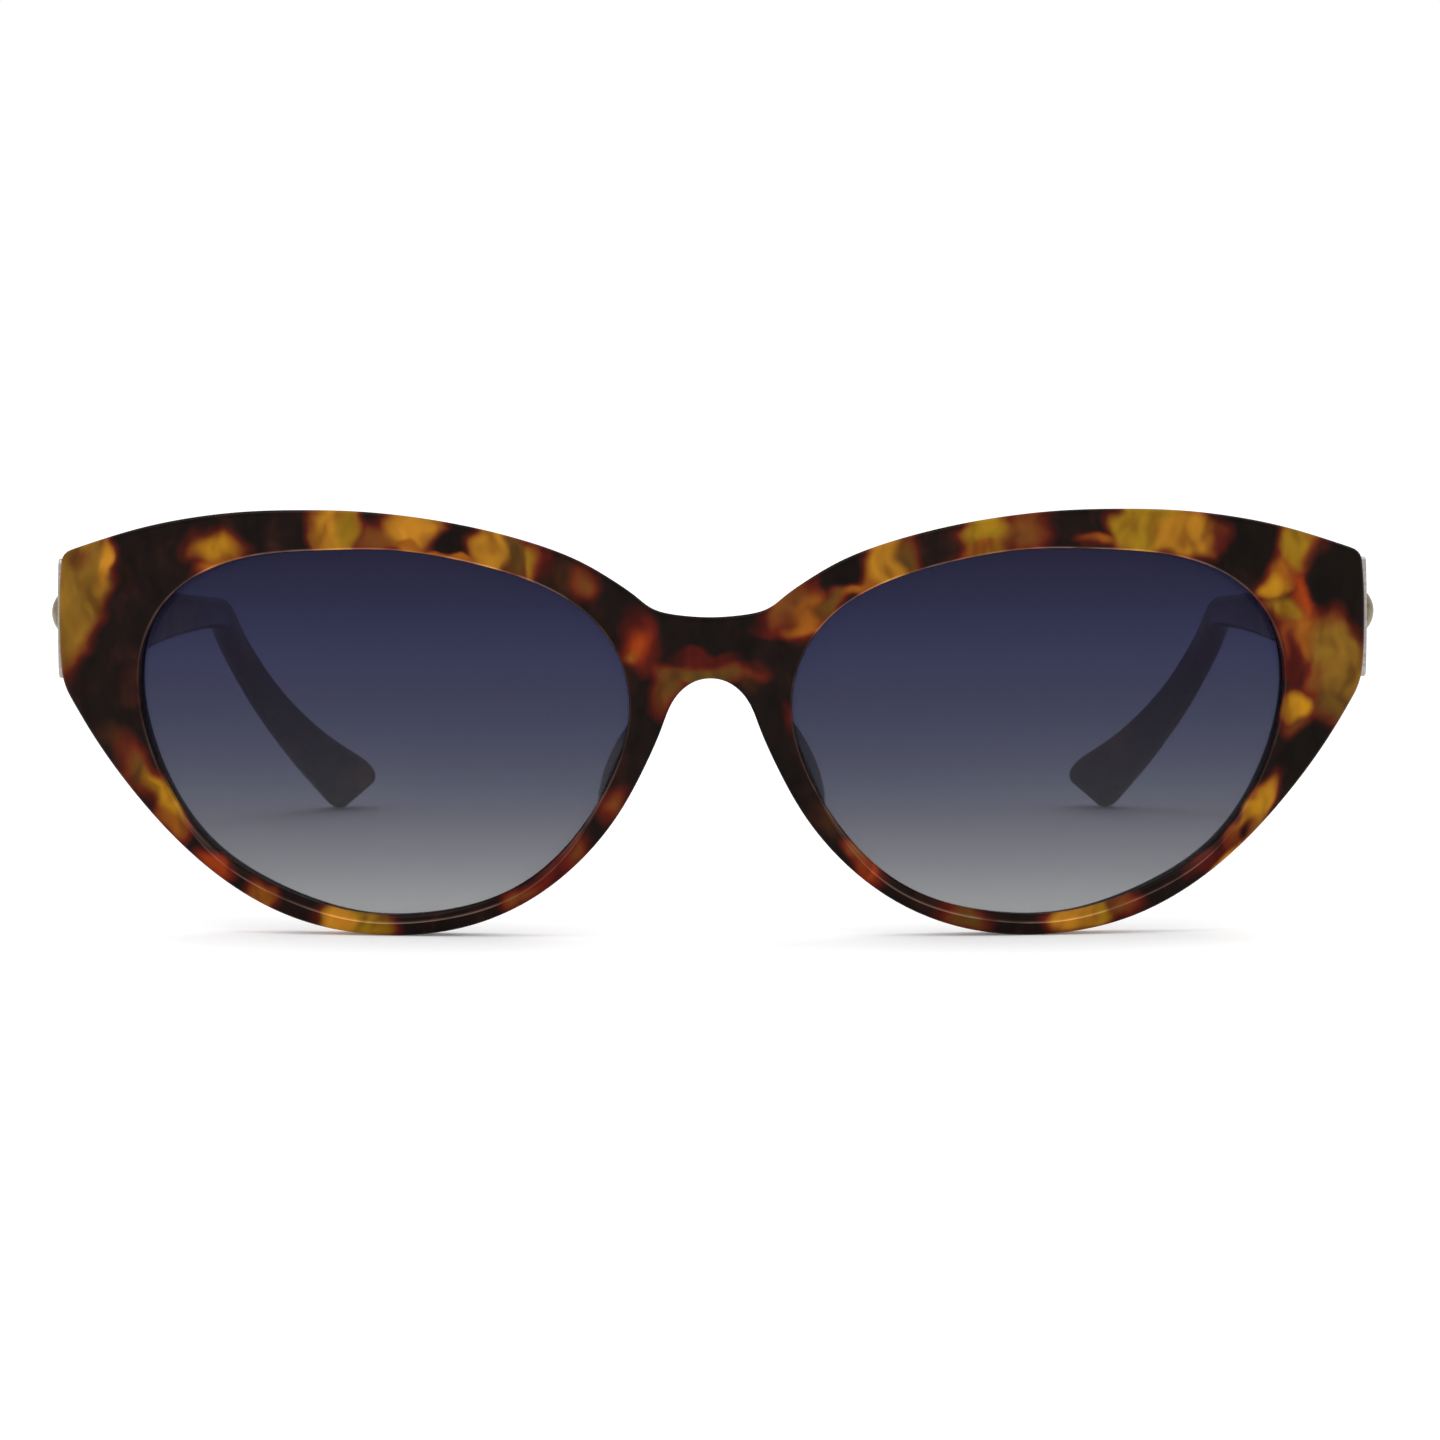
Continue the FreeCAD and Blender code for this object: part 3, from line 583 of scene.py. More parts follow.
def build_temple():
    stations = list(np.arange(0.2, 135.0, 0.8)) + list(135.0 + 3.0 * np.sin(
        np.linspace(0, math.pi / 2, 24)))
    rows = []
    for s in stations:
        c = centre(s)
        t, w = frame_at(s)
        ht = 0.5 * table_at(TEMPLE, s, 3) - 0.025
        hw = 0.5 * table_at(TEMPLE, s, 4) - 0.02
        grow = min(max((s - 22.0) / 60.0, 0.0), 1.0)
        r = 1.0 + 0.55 * grow
        k = 1.0
        if s > 135.0:
            u = min((s - 135.0) / 3.0, 1.0)
            k = max(1 - u ** 2.4, 0.0) ** (1 / 2.4)
        loss = 1.75 * (1 - k)                 # the end is blunt, with rounded edges
        ht, hw = max(ht - loss, 0.03), hw - loss
        r = min(r, 0.92 * ht, 0.92 * hw)
        blend = smoothstep((22.0 - s) / 8.0)
        mid = c + np.array([0.025, 0, 0])
        ring = ring_shape(ht, hw, r)
        rows.append(mid + ring[:, :1] * t + ring[:, 1:] * w)
    # rounded start of the temple, where it meets the end piece
    first = rows[0]
    mid = first.mean(0)
    ht, hw = 2.125, 7.0
    start = []
    for i in range(5):
        a = math.pi / 2 * i / 5
        inset = 0.35 * (1 - math.sin(a))
        back = 0.35 * (1 - math.cos(a))
        ring = ring_shape(ht - inset, hw - inset, max(1.0 - inset, 0.3))
        p = np.stack([mid[0] + ring[:, 0], np.full(len(ring), 0.2 + back), ring[:, 1]], -1)
        start.append(p)
    # the rows the rounding covers
    rows = [r for r in rows if r[:, 1].mean() > 0.2 + 0.36]
    ring = ring_shape(ht, hw, 1.0)
    full = np.stack([mid[0] + ring[:, 0], np.full(len(ring), 0.55), ring[:, 1]], -1)
    rows = start + [full] + rows
    m = len(rows[0])
    verts = np.vstack(rows)
    faces = grid_faces(len(rows), m)
    # start cap: rings towards the middle
    cap = [rows[0]]
    for k in (0.75, 0.5, 0.25):
        q = rows[0].mean(0) + (rows[0] - rows[0].mean(0)) * k
        cap.append(q)
    base = len(verts)
    verts = np.vstack([verts] + cap[1:] + [[rows[0].mean(0)], [rows[-1].mean(0)]])
    idx = [list(range(m))] + [list(range(base + i * m, base + (i + 1) * m)) for i in range(3)]
    for a, b in zip(idx[:-1], idx[1:]):
        for j in range(m):
            k = (j + 1) % m
            faces.append((a[k], a[j], b[j], b[k]))
    c0, c1 = len(verts) - 2, len(verts) - 1
    faces += [(c0, idx[-1][(j + 1) % m], idx[-1][j]) for j in range(m)]
    last = (len(rows) - 1) * m
    faces += [(c1, last + j, last + (j + 1) % m) for j in range(m)]
    return verts, faces


tv, tf = build_temple()
temples = {}
for side, s in (("left", 1), ("right", -1)):
    ob = mesh_piece("temple_acetate_" + side, temple_to_row(tv) if s > 0 else flip(temple_to_row(tv)), tf)
    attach(ob, "temple_" + side)
    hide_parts("temple_arm_" + side)
    temples[side] = ob


# ----------------------------------------------------------------- nose pads
def build_pad():
    lean = math.radians(PAD_LEAN)
    u = np.array([-math.sin(lean), math.cos(lean)])
    v = np.array([math.cos(lean), math.sin(lean)])
    ys = [r[0] for r in PAD_ROWS]
    stations = list(np.linspace(3.9, 9.2, 15)) + list(9.2 + 1.1 * np.sin(np.linspace(0.12, math.pi / 2, 12)))
    rows = []
    n = 48
    a = np.linspace(0, 2 * math.pi, n, endpoint=False)
    for y in stations:
        yy = min(y, 9.2)
        dx = table_at(PAD_ROWS, yy, 1)
        hl = table_at(PAD_ROWS, yy, 2)
        hw = table_at(PAD_ROWS, yy, 3)
        if y > 9.2:
            q = min((y - 9.2) / 1.1, 1.0)
            k = max(1 - q ** 2.2, 0.0) ** (1 / 2.2)
            hl, hw = hl * (0.35 + 0.65 * k) if k > 0.02 else hl * 0.3, max(hw * k, 0.02)
            dx += 0.22 * q
        c = np.array([PAD_MID[0] + dx, PAD_MID[1]])
        p = c + np.sin(a)[:, None] * hl * u + np.cos(a)[:, None] * hw * v
        rows.append(np.stack([p[:, 0], np.full(n, y), p[:, 1]], -1))
    verts = np.vstack(rows)
    faces = grid_faces(len(rows), n)
    verts = np.vstack([verts, [rows[0].mean(0)], [rows[-1].mean(0)]])
    c0, c1 = len(verts) - 2, len(verts) - 1
    faces += [(c0, (j + 1) % n, j) for j in range(n)]
    last = (len(rows) - 1) * n
    faces += [(c1, last + j, last + (j + 1) % n) for j in range(n)]
    return verts, faces


pv, pf = build_pad()
pads = {}
for side, s in (("left", 1), ("right", -1)):
    ob = mesh_piece("nose_pad_acetate_" + side, front_to_row(pv if s > 0 else flip(pv)), pf, sharp=60)
    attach(ob, "front")
    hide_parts("nose_pad_" + side)
    pads[side] = ob


# ------------------------------------------------------------ plaque and stud
def build_plaque():
    """Crowned metal plate with rounded edges, on the temple's flat outer face."""
    y0, y1 = 0.7, 20.5
    corner = [(y0, -6.4), (y1, -5.25), (y1, 5.6), (y0, 6.93)]
    pts = []
    r = [0.9, 1.6, 1.6, 0.9]
    for k in range(4):
        p = np.array(corner[k])
        a = np.array(corner[k - 1]) - p
        b = np.array(corner[(k + 1) % 4]) - p
        a, b = a / np.linalg.norm(a), b / np.linalg.norm(b)
        p0, p1 = p + a * r[k], p + b * r[k]
        for t in np.linspace(0, 1, 9):
            q0, q1 = p0 + (p - p0) * 0.55, p1 + (p - p1) * 0.55
            pts.append((1 - t) ** 3 * p0 + 3 * (1 - t) ** 2 * t * q0 + 3 * (1 - t) * t * t * q1 + t ** 3 * p1)
    loop = resample(np.array(pts), count=160, closed=True)
    nrm = normals_of(loop)
    x0 = 71.5

    def top(p):
        return x0 + 0.64 + 0.11 * (1 - np.clip(np.abs(p[:, 1]) / 6.9, 0, 1) ** 2)
    rows = [np.stack([np.full(len(loop), x0 - 0.02), loop[:, 0], loop[:, 1]], -1)]
    e = 0.2
    for i in range(6):
        a = math.pi / 2 * i / 5
        inset, drop = e * (1 - math.cos(a)), e * (1 - math.sin(a))
        p = loop + nrm * inset
        rows.append(np.stack([top(p) - drop, p[:, 0], p[:, 1]], -1))
    c = np.array([10.4, 0.0])
    edge = loop + nrm * (e + 0.03)
    for t in np.linspace(1, 0.06, 18):
        p = c + (edge - c) * t
        rows.append(np.stack([top(p), p[:, 0], p[:, 1]], -1))
    n = len(loop)
    verts = np.vstack(rows + [[[float(top(np.array([c]))[0]), c[0], c[1]]], [[x0 - 0.02, c[0], c[1]]]])
    faces = grid_faces(len(rows), n)
    last = (len(rows) - 1) * n
    faces += [(len(verts) - 2, last + j, last + (j + 1) % n) for j in range(n)]
    faces += [(len(verts) - 1, (j + 1) % n, j) for j in range(n)]
    return verts, faces


def build_stud():
    """Low dome with a turned shoulder at its foot."""
    face_x = 71.5 + 0.72
    rad, height = 2.7, 1.37
    prof = [(rad - 0.06, -0.3), (rad, -0.2), (rad, 0.10), (rad - 0.05, 0.2), (rad - 0.16, 0.24),
            (rad - 0.30, 0.25), (rad - 0.36, 0.28)]
    rr, hh = rad - 0.36, height - 0.28
    ball = (rr * rr + hh * hh) / (2 * hh)
    for i in range(1, 22):
        t = rr * math.cos(math.pi / 2 * i / 22)
        prof.append((t, 0.28 + math.sqrt(ball * ball - t * t) - (ball - hh)))
    n = 72
    rows = []
    for r, h in prof:
        a = np.linspace(0, 2 * math.pi, n, endpoint=False)
        rows.append(np.stack([np.full(n, face_x + h), 6.6 + r * np.cos(a), 0.85 + r * np.sin(a)], -1))
    verts = np.vstack(rows + [[[face_x + height, 6.6, 0.85]], [[face_x - 0.3, 6.6, 0.85]]])
    faces = grid_faces(len(rows), n)
    last = (len(rows) - 1) * n
    faces += [(len(verts) - 2, last + j, last + (j + 1) % n) for j in range(n)]
    faces += [(len(verts) - 1, (j + 1) % n, j) for j in range(n)]
    return verts, faces


plaques, studs = {}, {}
qv, qf = build_plaque()
sv, sf = build_stud()
for side, s in (("left", 1), ("right", -1)):
    def put(v):
        return temple_to_row(v) if s > 0 else flip(temple_to_row(v))
    ob = mesh_piece("plaque_silver_" + side, put(qv), qf, sharp=60)
    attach(ob, "temple_" + side)
    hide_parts("temple_plaque_" + side)
    plaques[side] = ob
    ob = mesh_piece("stud_dome_" + side, put(sv), sf, sharp=60)
    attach(ob, "temple_" + side)
    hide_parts("plaque_stud_" + side)
    studs[side] = ob


# ----------------------------------------------------------------- materials
def srgb(r, g, b):
    def f(c):
        c /= 255.0
        return c / 12.92 if c <= 0.04045 else ((c + 0.055) / 1.055) ** 2.4
    return (f(r), f(g), f(b), 1.0)


class Nodes:
    def __init__(self, name):
        self.mat = bpy.data.materials.new(name)
        self.mat.use_nodes = True
        self.t = self.mat.node_tree
        self.t.nodes.clear()

    def add(self, kind, **props):
        n = self.t.nodes.new(kind)
        for k, v in props.items():
            setattr(n, k, v)
        return n

    def link(self, a, b):
        self.t.links.new(a, b)

    def math(self, op, a, b=None, c=None, clamp=False):
        n = self.add("ShaderNodeMath", operation=op, use_clamp=clamp)
        for i, v in enumerate((a, b, c)):
            if v is None:
                continue
            if isinstance(v, (int, float)):
                n.inputs[i].default_value = v
            else:
                self.link(v, n.inputs[i])
        return n.outputs[0]

    def vmath(self, op, a, b=None):
        n = self.add("ShaderNodeVectorMath", operation=op)
        for i, v in enumerate((a, b)):
            if v is None:
                continue
            if isinstance(v, (tuple, list)):
                n.inputs[i].default_value = v
            elif isinstance(v, (int, float)):
                n.inputs["Scale"].default_value = v
            else:
                self.link(v, n.inputs[i])
        return n

    def noise(self, vec, scale, detail=2.0, rough=0.5, distortion=0.0):
        n = self.add("ShaderNodeTexNoise")
        n.inputs["Scale"].default_value = scale
        n.inputs["Detail"].default_value = detail
        n.inputs["Roughness"].default_value = rough
        n.inputs["Distortion"].default_value = distortion
        self.link(vec, n.inputs["Vector"])
        return n

    def ramp(self, fac, stops, interp="LINEAR"):
        n = self.add("ShaderNodeValToRGB")
        n.color_ramp.interpolation = interp
        e = n.color_ramp.elements
        while len(e) > 1:
            e.remove(e[-1])
        e[0].position, e[0].color = stops[0]
        for pos, col in stops[1:]:
            el = e.new(pos)
            el.color = col
        self.link(fac, n.inputs[0])
        return n.outputs[0]

    def mix(self, fac, a, b, blend="MIX"):
        n = self.add("ShaderNodeMix", data_type="RGBA", blend_type=blend)
        for sock, v in ((n.inputs[0], fac), (n.inputs[6], a), (n.inputs[7], b)):
            if isinstance(v, (int, float)):
                sock.default_value = v
            elif isinstance(v, tuple):
                sock.default_value = v
            else:
                self.link(v, sock)
        return n.outputs[2]

    def mapr(self, v, a, b, c=0.0, d=1.0, smooth=True):
        n = self.add("ShaderNodeMapRange", interpolation_type="SMOOTHSTEP" if smooth else "LINEAR")
        self.link(v, n.inputs[0])
        for i, x in zip((1, 2, 3, 4), (a, b, c, d)):
            n.inputs[i].default_value = x
        return n.outputs[0]

    def principled(self, color=None, rough=None, bump=None, bump_strength=0.1, bump_dist=0.0001, **const):
        p = self.add("ShaderNodeBsdfPrincipled")
        if isinstance(color, tuple):
            p.inputs["Base Color"].default_value = color
        elif color is not None:
            self.link(color, p.inputs["Base Color"])
        if isinstance(rough, (int, float)):
            p.inputs["Roughness"].default_value = rough
        elif rough is not None:
            self.link(rough, p.inputs["Roughness"])
        for k, v in const.items():
            p.inputs[k.replace("_", " ")].default_value = v
        if bump is not None:
            b = self.add("ShaderNodeBump")
            b.inputs["Strength"].default_value = bump_strength
            b.inputs["Distance"].default_value = bump_dist
            self.link(bump, b.inputs["Height"])
            self.link(b.outputs[0], p.inputs["Normal"])
        return p

    def out(self, shader):
        o = self.add("ShaderNodeOutputMaterial")
        self.link(shader, o.inputs[0])
        return self.mat


def patch_group(name, blend):
    """Lays one soft oval of colour over what is below it, with a red-brown fringe.

    The oval is given by its middle, radii and turn; `Fringe` is how wide its edge fades.
    """
    g = bpy.data.node_groups.new(name, "ShaderNodeTree")
    for nm, kind in (("P", "NodeSocketVector"), ("Below", "NodeSocketColor"),
                     ("Middle", "NodeSocketVector"), ("Radii", "NodeSocketVector"),
                     ("Turn", "NodeSocketFloat"), ("Fringe", "NodeSocketFloat"),
                     ("Color", "NodeSocketColor"), ("Rim", "NodeSocketColor")):
        g.interface.new_socket(nm, in_out="INPUT", socket_type=kind)
    g.interface.new_socket("Color", in_out="OUTPUT", socket_type="NodeSocketColor")
    L = g.links.new
    i = g.nodes.new("NodeGroupInput")
    o = g.nodes.new("NodeGroupOutput")
    sub = g.nodes.new("ShaderNodeVectorMath"); sub.operation = "SUBTRACT"
    rot = g.nodes.new("ShaderNodeVectorRotate"); rot.rotation_type = "Y_AXIS"
    div = g.nodes.new("ShaderNodeVectorMath"); div.operation = "DIVIDE"
    ln = g.nodes.new("ShaderNodeVectorMath"); ln.operation = "LENGTH"
    L(i.outputs["P"], sub.inputs[0]); L(i.outputs["Middle"], sub.inputs[1])
    L(sub.outputs[0], rot.inputs["Vector"]); L(i.outputs["Turn"], rot.inputs["Angle"])
    L(rot.outputs[0], div.inputs[0]); L(i.outputs["Radii"], div.inputs[1])
    L(div.outputs[0], ln.inputs[0])
    def band(lo, hi):
        e0 = g.nodes.new("ShaderNodeMath"); e0.operation = "MULTIPLY_ADD"
        e1 = g.nodes.new("ShaderNodeMath"); e1.operation = "MULTIPLY_ADD"
        for e, v in ((e0, lo), (e1, hi)):
            L(i.outputs["Fringe"], e.inputs[0])
            e.inputs[1].default_value = v
            e.inputs[2].default_value = 1.0
        m = g.nodes.new("ShaderNodeMapRange"); m.interpolation_type = "SMOOTHSTEP"
        L(ln.outputs["Value"], m.inputs[0])
        L(e0.outputs[0], m.inputs[1]); L(e1.outputs[0], m.inputs[2])
        m.inputs[3].default_value = 1.0
        m.inputs[4].default_value = 0.0
        return m.outputs[0]
    outer, inner = band(-0.6, 1.25), band(-1.15, 0.45)
    m1 = g.nodes.new("ShaderNodeMix"); m1.data_type = "RGBA"; m1.blend_type = blend
    m2 = g.nodes.new("ShaderNodeMix"); m2.data_type = "RGBA"
    L(outer, m1.inputs[0]); L(i.outputs["Below"], m1.inputs[6]); L(i.outputs["Rim"], m1.inputs[7])
    L(inner, m2.inputs[0]); L(m1.outputs[2], m2.inputs[6]); L(i.outputs["Color"], m2.inputs[7])
    L(m2.outputs[2], o.inputs["Color"])
    return g


LIGHT_OVAL = patch_group("light_patch", "LIGHTEN")
DARK_OVAL = patch_group("dark_patch", "DARKEN")

TONES = {"Y": (176, 124, 28), "A": (170, 116, 38), "O": (148, 112, 28), "B": (96, 64, 28),
         "N": (144, 82, 26), "R": (152, 58, 18), "D": (18, 9, 7), "M": (80, 18, 17),
         "K": (58, 31, 18), "H": (184, 124, 44), "E": (96, 66, 30), "T": (112, 64, 32),
         "C": (130, 94, 38)}

# The sheet's patches, laid one over another: x, z of the middle, the two radii,
# turn in degrees, fringe, all in millimetres, and the tone.
PATCHES = [
    (-69.2, 37.5, 3.4, 8.5, 15, 0.98, "C"),
    (-68.9, 41.5, 1.7, 1.2, -10, 0.87, "T"),
    (-66.1, 40.6, 0.9, 3.3, 12, 0.65, "H"),
    (-53.6, 42.4, 2.7, 1.5, 0, 0.98, "Y"),
    (-53.8, 40.7, 2.2, 0.7, -20, 0.65, "N"),
    (-40.7, 44.6, 2.6, 3.5, 0, 0.76, "A"),
    (-39.4, 44.9, 0.9, 2.8, 0, 0.65, "O"),
    (-36.2, 43.6, 2.6, 1.2, 0, 0.98, "T"),
    (-31.9, 44.4, 3.3, 3.1, 12, 0.98, "H"),
    (-32.4, 42.6, 2.8, 0.7, 5, 0.55, "N"),
    (-27.7, 43.0, 2.7, 2.0, -4, 0.55, "D"),
    (-27.6, 41.4, 3.9, 0.4, 12, 0.44, "N"),
    (-23.5, 42.4, 2.2, 2.9, 0, 0.65, "A"),
    (-21.0, 41.9, 1.6, 2.8, 0, 0.87, "E"),
    (-19.2, 40.9, 0.8, 2.0, 0, 0.55, "O"),
    (-17.9, 41.1, 1.0, 2.0, 0, 0.65, "M"),
    (-15.2, 39.3, 2.8, 2.2, 25, 1.31, "K"),
    (-13.5, 38.6, 1.0, 1.4, 0, 0.76, "T"),
    (-7.1, 32.9, 1.5, 3.7, -22, 1.31, "M"),
    (-8.1, 31.8, 1.6, 2.2, -25, 0.87, "R"),
    (-8.7, 30.7, 1.0, 1.0, 0, 0.65, "N"),
    (-5.1, 27.3, 1.1, 2.0, 10, 0.76, "T"),
    (-0.3, 30.7, 3.7, 0.9, 0, 0.76, "M"),
    (-0.6, 29.0, 5.2, 1.1, 0, 0.76, "E"),
    (-4.3, 27.7, 1.3, 1.3, 40, 0.65, "B"),
    (3.7, 27.7, 1.1, 1.3, -40, 0.76, "K"),
    (-10.3, 14.6, 1.1, 1.4, 38, 0.98, "T"),
    (-17.5, 6.6, 5.7, 1.6, -40, 1.20, "M"),
    (-14.5, 9.3, 1.4, 0.9, -50, 0.87, "T"),
    (-20.5, 4.6, 2.0, 0.8, -30, 0.87, "T"),
    (-65.7, 21.4, 2.0, 2.6, -35, 1.31, "K"),
    (-62.8, 17.9, 1.5, 3.1, -35, 1.09, "B"),
    (-60.1, 15.0, 1.4, 3.9, -33, 0.87, "Y"),
    (-59.2, 11.8, 0.8, 1.7, -45, 0.65, "N"),
    (-54.0, 7.9, 1.3, 2.6, -48, 0.87, "M"),
    (-54.1, 7.9, 0.9, 1.7, -48, 0.65, "R"),
    (-49.1, 4.2, 1.9, 1.3, 30, 0.55, "N"),
    (-39.1, 1.5, 4.1, 2.0, 5, 0.65, "O"),
    (-40.9, 1.6, 2.0, 2.0, 0, 0.65, "H"),
    (6.5, 33.9, 1.9, 1.0, 10, 0.76, "M"),
    (8.8, 36.4, 2.7, 1.6, -40, 0.87, "T"),
    (10.6, 35.5, 1.5, 2.7, 22, 0.76, "N"),
    (13.2, 36.7, 2.6, 0.9, -38, 0.65, "B"),
    (9.7, 33.6, 1.7, 0.8, 5, 0.55, "N"),
    (14.2, 39.4, 3.1, 1.5, -22, 0.55, "D"),
    (19.0, 40.9, 2.3, 3.5, 5, 0.76, "A"),
    (16.0, 38.1, 2.0, 0.7, -34, 0.55, "N"),
    (21.4, 41.4, 1.4, 2.6, 0, 0.87, "B"),
    (29.9, 43.9, 2.8, 2.8, 0, 0.87, "O"),
    (29.5, 42.4, 2.8, 0.7, -10, 0.55, "N"),
    (34.1, 44.4, 2.2, 2.6, 0, 0.98, "T"),
    (47.1, 44.7, 4.0, 3.5, 6, 0.65, "O"),
    (51.8, 43.6, 3.9, 2.6, 12, 0.87, "A"),
    (42.3, 43.2, 2.0, 0.5, 0, 0.55, "N"),
    (58.4, 42.1, 3.7, 3.4, 10, 0.76, "D"),
    (55.5, 43.1, 1.1, 1.3, 0, 0.87, "M"),
    (64.1, 42.4, 2.1, 2.6, -20, 0.65, "O"),
    (62.3, 39.0, 1.5, 2.8, 20, 0.87, "N"),
    (61.3, 37.9, 1.9, 1.2, 0, 0.65, "Y"),
    (62.8, 35.5, 2.0, 1.6, 20, 0.87, "O"),
    (64.4, 37.2, 0.9, 3.1, -8, 0.87, "R"),
    (68.6, 38.7, 3.5, 5.2, -10, 0.76, "D"),
    (64.5, 32.4, 2.2, 2.8, 10, 0.87, "N"),
    (68.5, 29.7, 3.1, 5.2, -10, 0.87, "C"),
    (66.5, 28.2, 1.3, 2.0, 0, 0.98, "T"),
    (63.4, 29.5, 1.0, 3.1, 0, 0.76, "M"),
    (64.2, 25.0, 1.5, 1.9, 0, 0.65, "Y"),
    (68.0, 25.1, 2.6, 2.1, -30, 0.87, "E"),
    (64.1, 22.5, 1.0, 1.0, 0, 0.76, "B"),
    (65.3, 19.2, 2.8, 4.4, 25, 0.76, "D"),
    (59.7, 13.7, 1.2, 3.9, 30, 0.65, "A"),
    (59.6, 13.9, 0.7, 2.8, 30, 0.55, "Y"),
    (57.8, 10.9, 1.1, 2.0, 45, 0.65, "N"),
    (58.4, 11.3, 0.4, 1.3, 40, 0.44, "D"),
    (54.2, 8.3, 1.2, 3.1, 48, 0.87, "M"),
    (56.6, 8.4, 0.8, 2.4, 50, 0.55, "H"),
    (40.4, 1.8, 3.5, 2.0, -5, 0.65, "A"),
    (38.0, 1.9, 1.2, 2.0, 0, 0.55, "H"),
    (42.4, 2.2, 1.1, 1.7, 0, 0.65, "O"),
    (44.5, 2.9, 1.6, 1.4, -15, 0.87, "T"),
    (27.6, 2.2, 2.4, 1.6, 15, 0.87, "E"),
    (25.7, 2.7, 1.1, 1.0, 20, 0.76, "M"),
    (17.3, 7.7, 1.9, 1.0, 38, 0.65, "R"),
    (15.7, 9.3, 1.5, 0.8, 45, 0.55, "T"),
    (12.6, 12.8, 1.3, 2.6, -35, 1.20, "K"),
    (8.5, 24.4, 1.0, 1.5, 0, 0.87, "M"),
]


def deep(tone):
    """The sheet's own colour for a tone, a little below how it reads in white light."""
    r, g, b, _ = srgb(*tone)
    return (r * 0.80, g * 0.76, b * 0.42, 1.0)


def tortoise(name, placed, wall=False):
    k = Nodes(name)
    tc = k.add("ShaderNodeTexCoord")
    pos = k.vmath("SCALE", tc.outputs["Object"], 1000.0).outputs[0]      # millimetres
    # the sheet's flow pulls every patch a little out of true
    wob = k.noise(pos, 0.20, 1.0, 0.4)
    shift = k.vmath("SUBTRACT", wob.outputs["Color"], (0.5, 0.5, 0.5)).outputs[0]
    shift = k.vmath("SCALE", shift, 1.7).outputs[0]
    fine = k.noise(pos, 0.9, 1.0, 0.5)
    shift2 = k.vmath("SUBTRACT", fine.outputs["Color"], (0.5, 0.5, 0.5)).outputs[0]
    shift2 = k.vmath("SCALE", shift2, 0.20).outputs[0]
    mid = k.noise(k.vmath("ADD", pos, (13.0, 5.0, 29.0)).outputs[0], 0.38, 0.4, 0.4)
    shift3 = k.vmath("SUBTRACT", mid.outputs["Color"], (0.5, 0.5, 0.5)).outputs[0]
    shift3 = k.vmath("SCALE", shift3, 2.1).outputs[0]
    warped = k.vmath("ADD", k.vmath("ADD", pos, shift).outputs[0], shift2).outputs[0]
    warped = k.vmath("ADD", warped, shift3).outputs[0]
    flat = k.vmath("MULTIPLY", warped, (1.0, 0.0, 1.0)).outputs[0]
    cloud = k.noise(k.vmath("MULTIPLY", warped, (1.0, 1.0, 0.55)).outputs[0], 0.30, 3.0, 0.55)
    base = k.ramp(cloud.outputs[0], [(0.30, srgb(13, 6, 4)), (0.50, srgb(20, 9, 6)),
                                     (0.62, srgb(31, 13, 9)), (0.75, srgb(46, 19, 11))])
    rim = srgb(92, 22, 8)
    if placed:
        col = base
        for cx, cz, rx, rz, turn, fringe, tone in PATCHES:
            n = k.add("ShaderNodeGroup")
            n.node_tree = DARK_OVAL if tone in "DMK" else LIGHT_OVAL
            k.link(flat, n.inputs["P"])
            k.link(col, n.inputs["Below"])
            n.inputs["Middle"].default_value = (cx, 0.0, cz)
            n.inputs["Radii"].default_value = (rx, 1.0, rz)
            n.inputs["Turn"].default_value = -math.radians(turn)
            n.inputs["Fringe"].default_value = 1.35 * fringe / math.sqrt(rx * rz)
            n.inputs["Color"].default_value = deep(TONES[tone])
            dark = tone in "DMK"
            n.inputs["Rim"].default_value = srgb(96, 30, 14) if dark else rim
            col = n.outputs["Color"]
    else:
        stretch = k.vmath("MULTIPLY", warped, (0.32, 0.072, 0.125)).outputs[0]
        n1 = k.noise(stretch, 1.0, 1.5, 0.4)
        n2 = k.noise(k.vmath("ADD", stretch, (7.3, 3.1, 9.7)).outputs[0], 1.25, 1.5, 0.4)
        org = k.mapr(n2.outputs[0], 0.545, 0.68)
        yel = k.mapr(n1.outputs[0], 0.525, 0.645)
        org_col = k.ramp(org, [(0.0, srgb(30, 16, 12)), (0.35, srgb(74, 24, 12)),
                               (0.70, srgb(128, 55, 16)), (1.0, srgb(146, 78, 28))])
        yel_col = k.ramp(yel, [(0.0, srgb(30, 16, 12)), (0.25, srgb(96, 30, 14)),
                               (0.55, srgb(150, 84, 24)), (1.0, srgb(166, 118, 38))])
        sep = k.add("ShaderNodeSeparateXYZ")
        k.link(pos, sep.inputs[0])
        calm = k.mapr(sep.outputs[1], -20.0, 40.0, 1.0, 0.22)
        col = k.mix(k.math("MULTIPLY", k.mapr(org, 0.02, 0.35), calm), base, org_col)
        col = k.mix(k.math("MULTIPLY", k.mapr(yel, 0.02, 0.35), calm), col, yel_col)
    # thicker and thinner places inside the patches
    streak = k.noise(k.vmath("MULTIPLY", warped, (1.0, 1.0, 0.45)).outputs[0], 0.50, 1.2, 0.5)
    tone = k.ramp(streak.outputs[0], [(0.30, (0.60, 0.52, 0.42, 1)), (0.47, (0.96, 0.95, 0.93, 1)),
                                      (0.70, (1.26, 1.28, 1.15, 1))])
    col = k.mix(1.0, col, tone, "MULTIPLY")
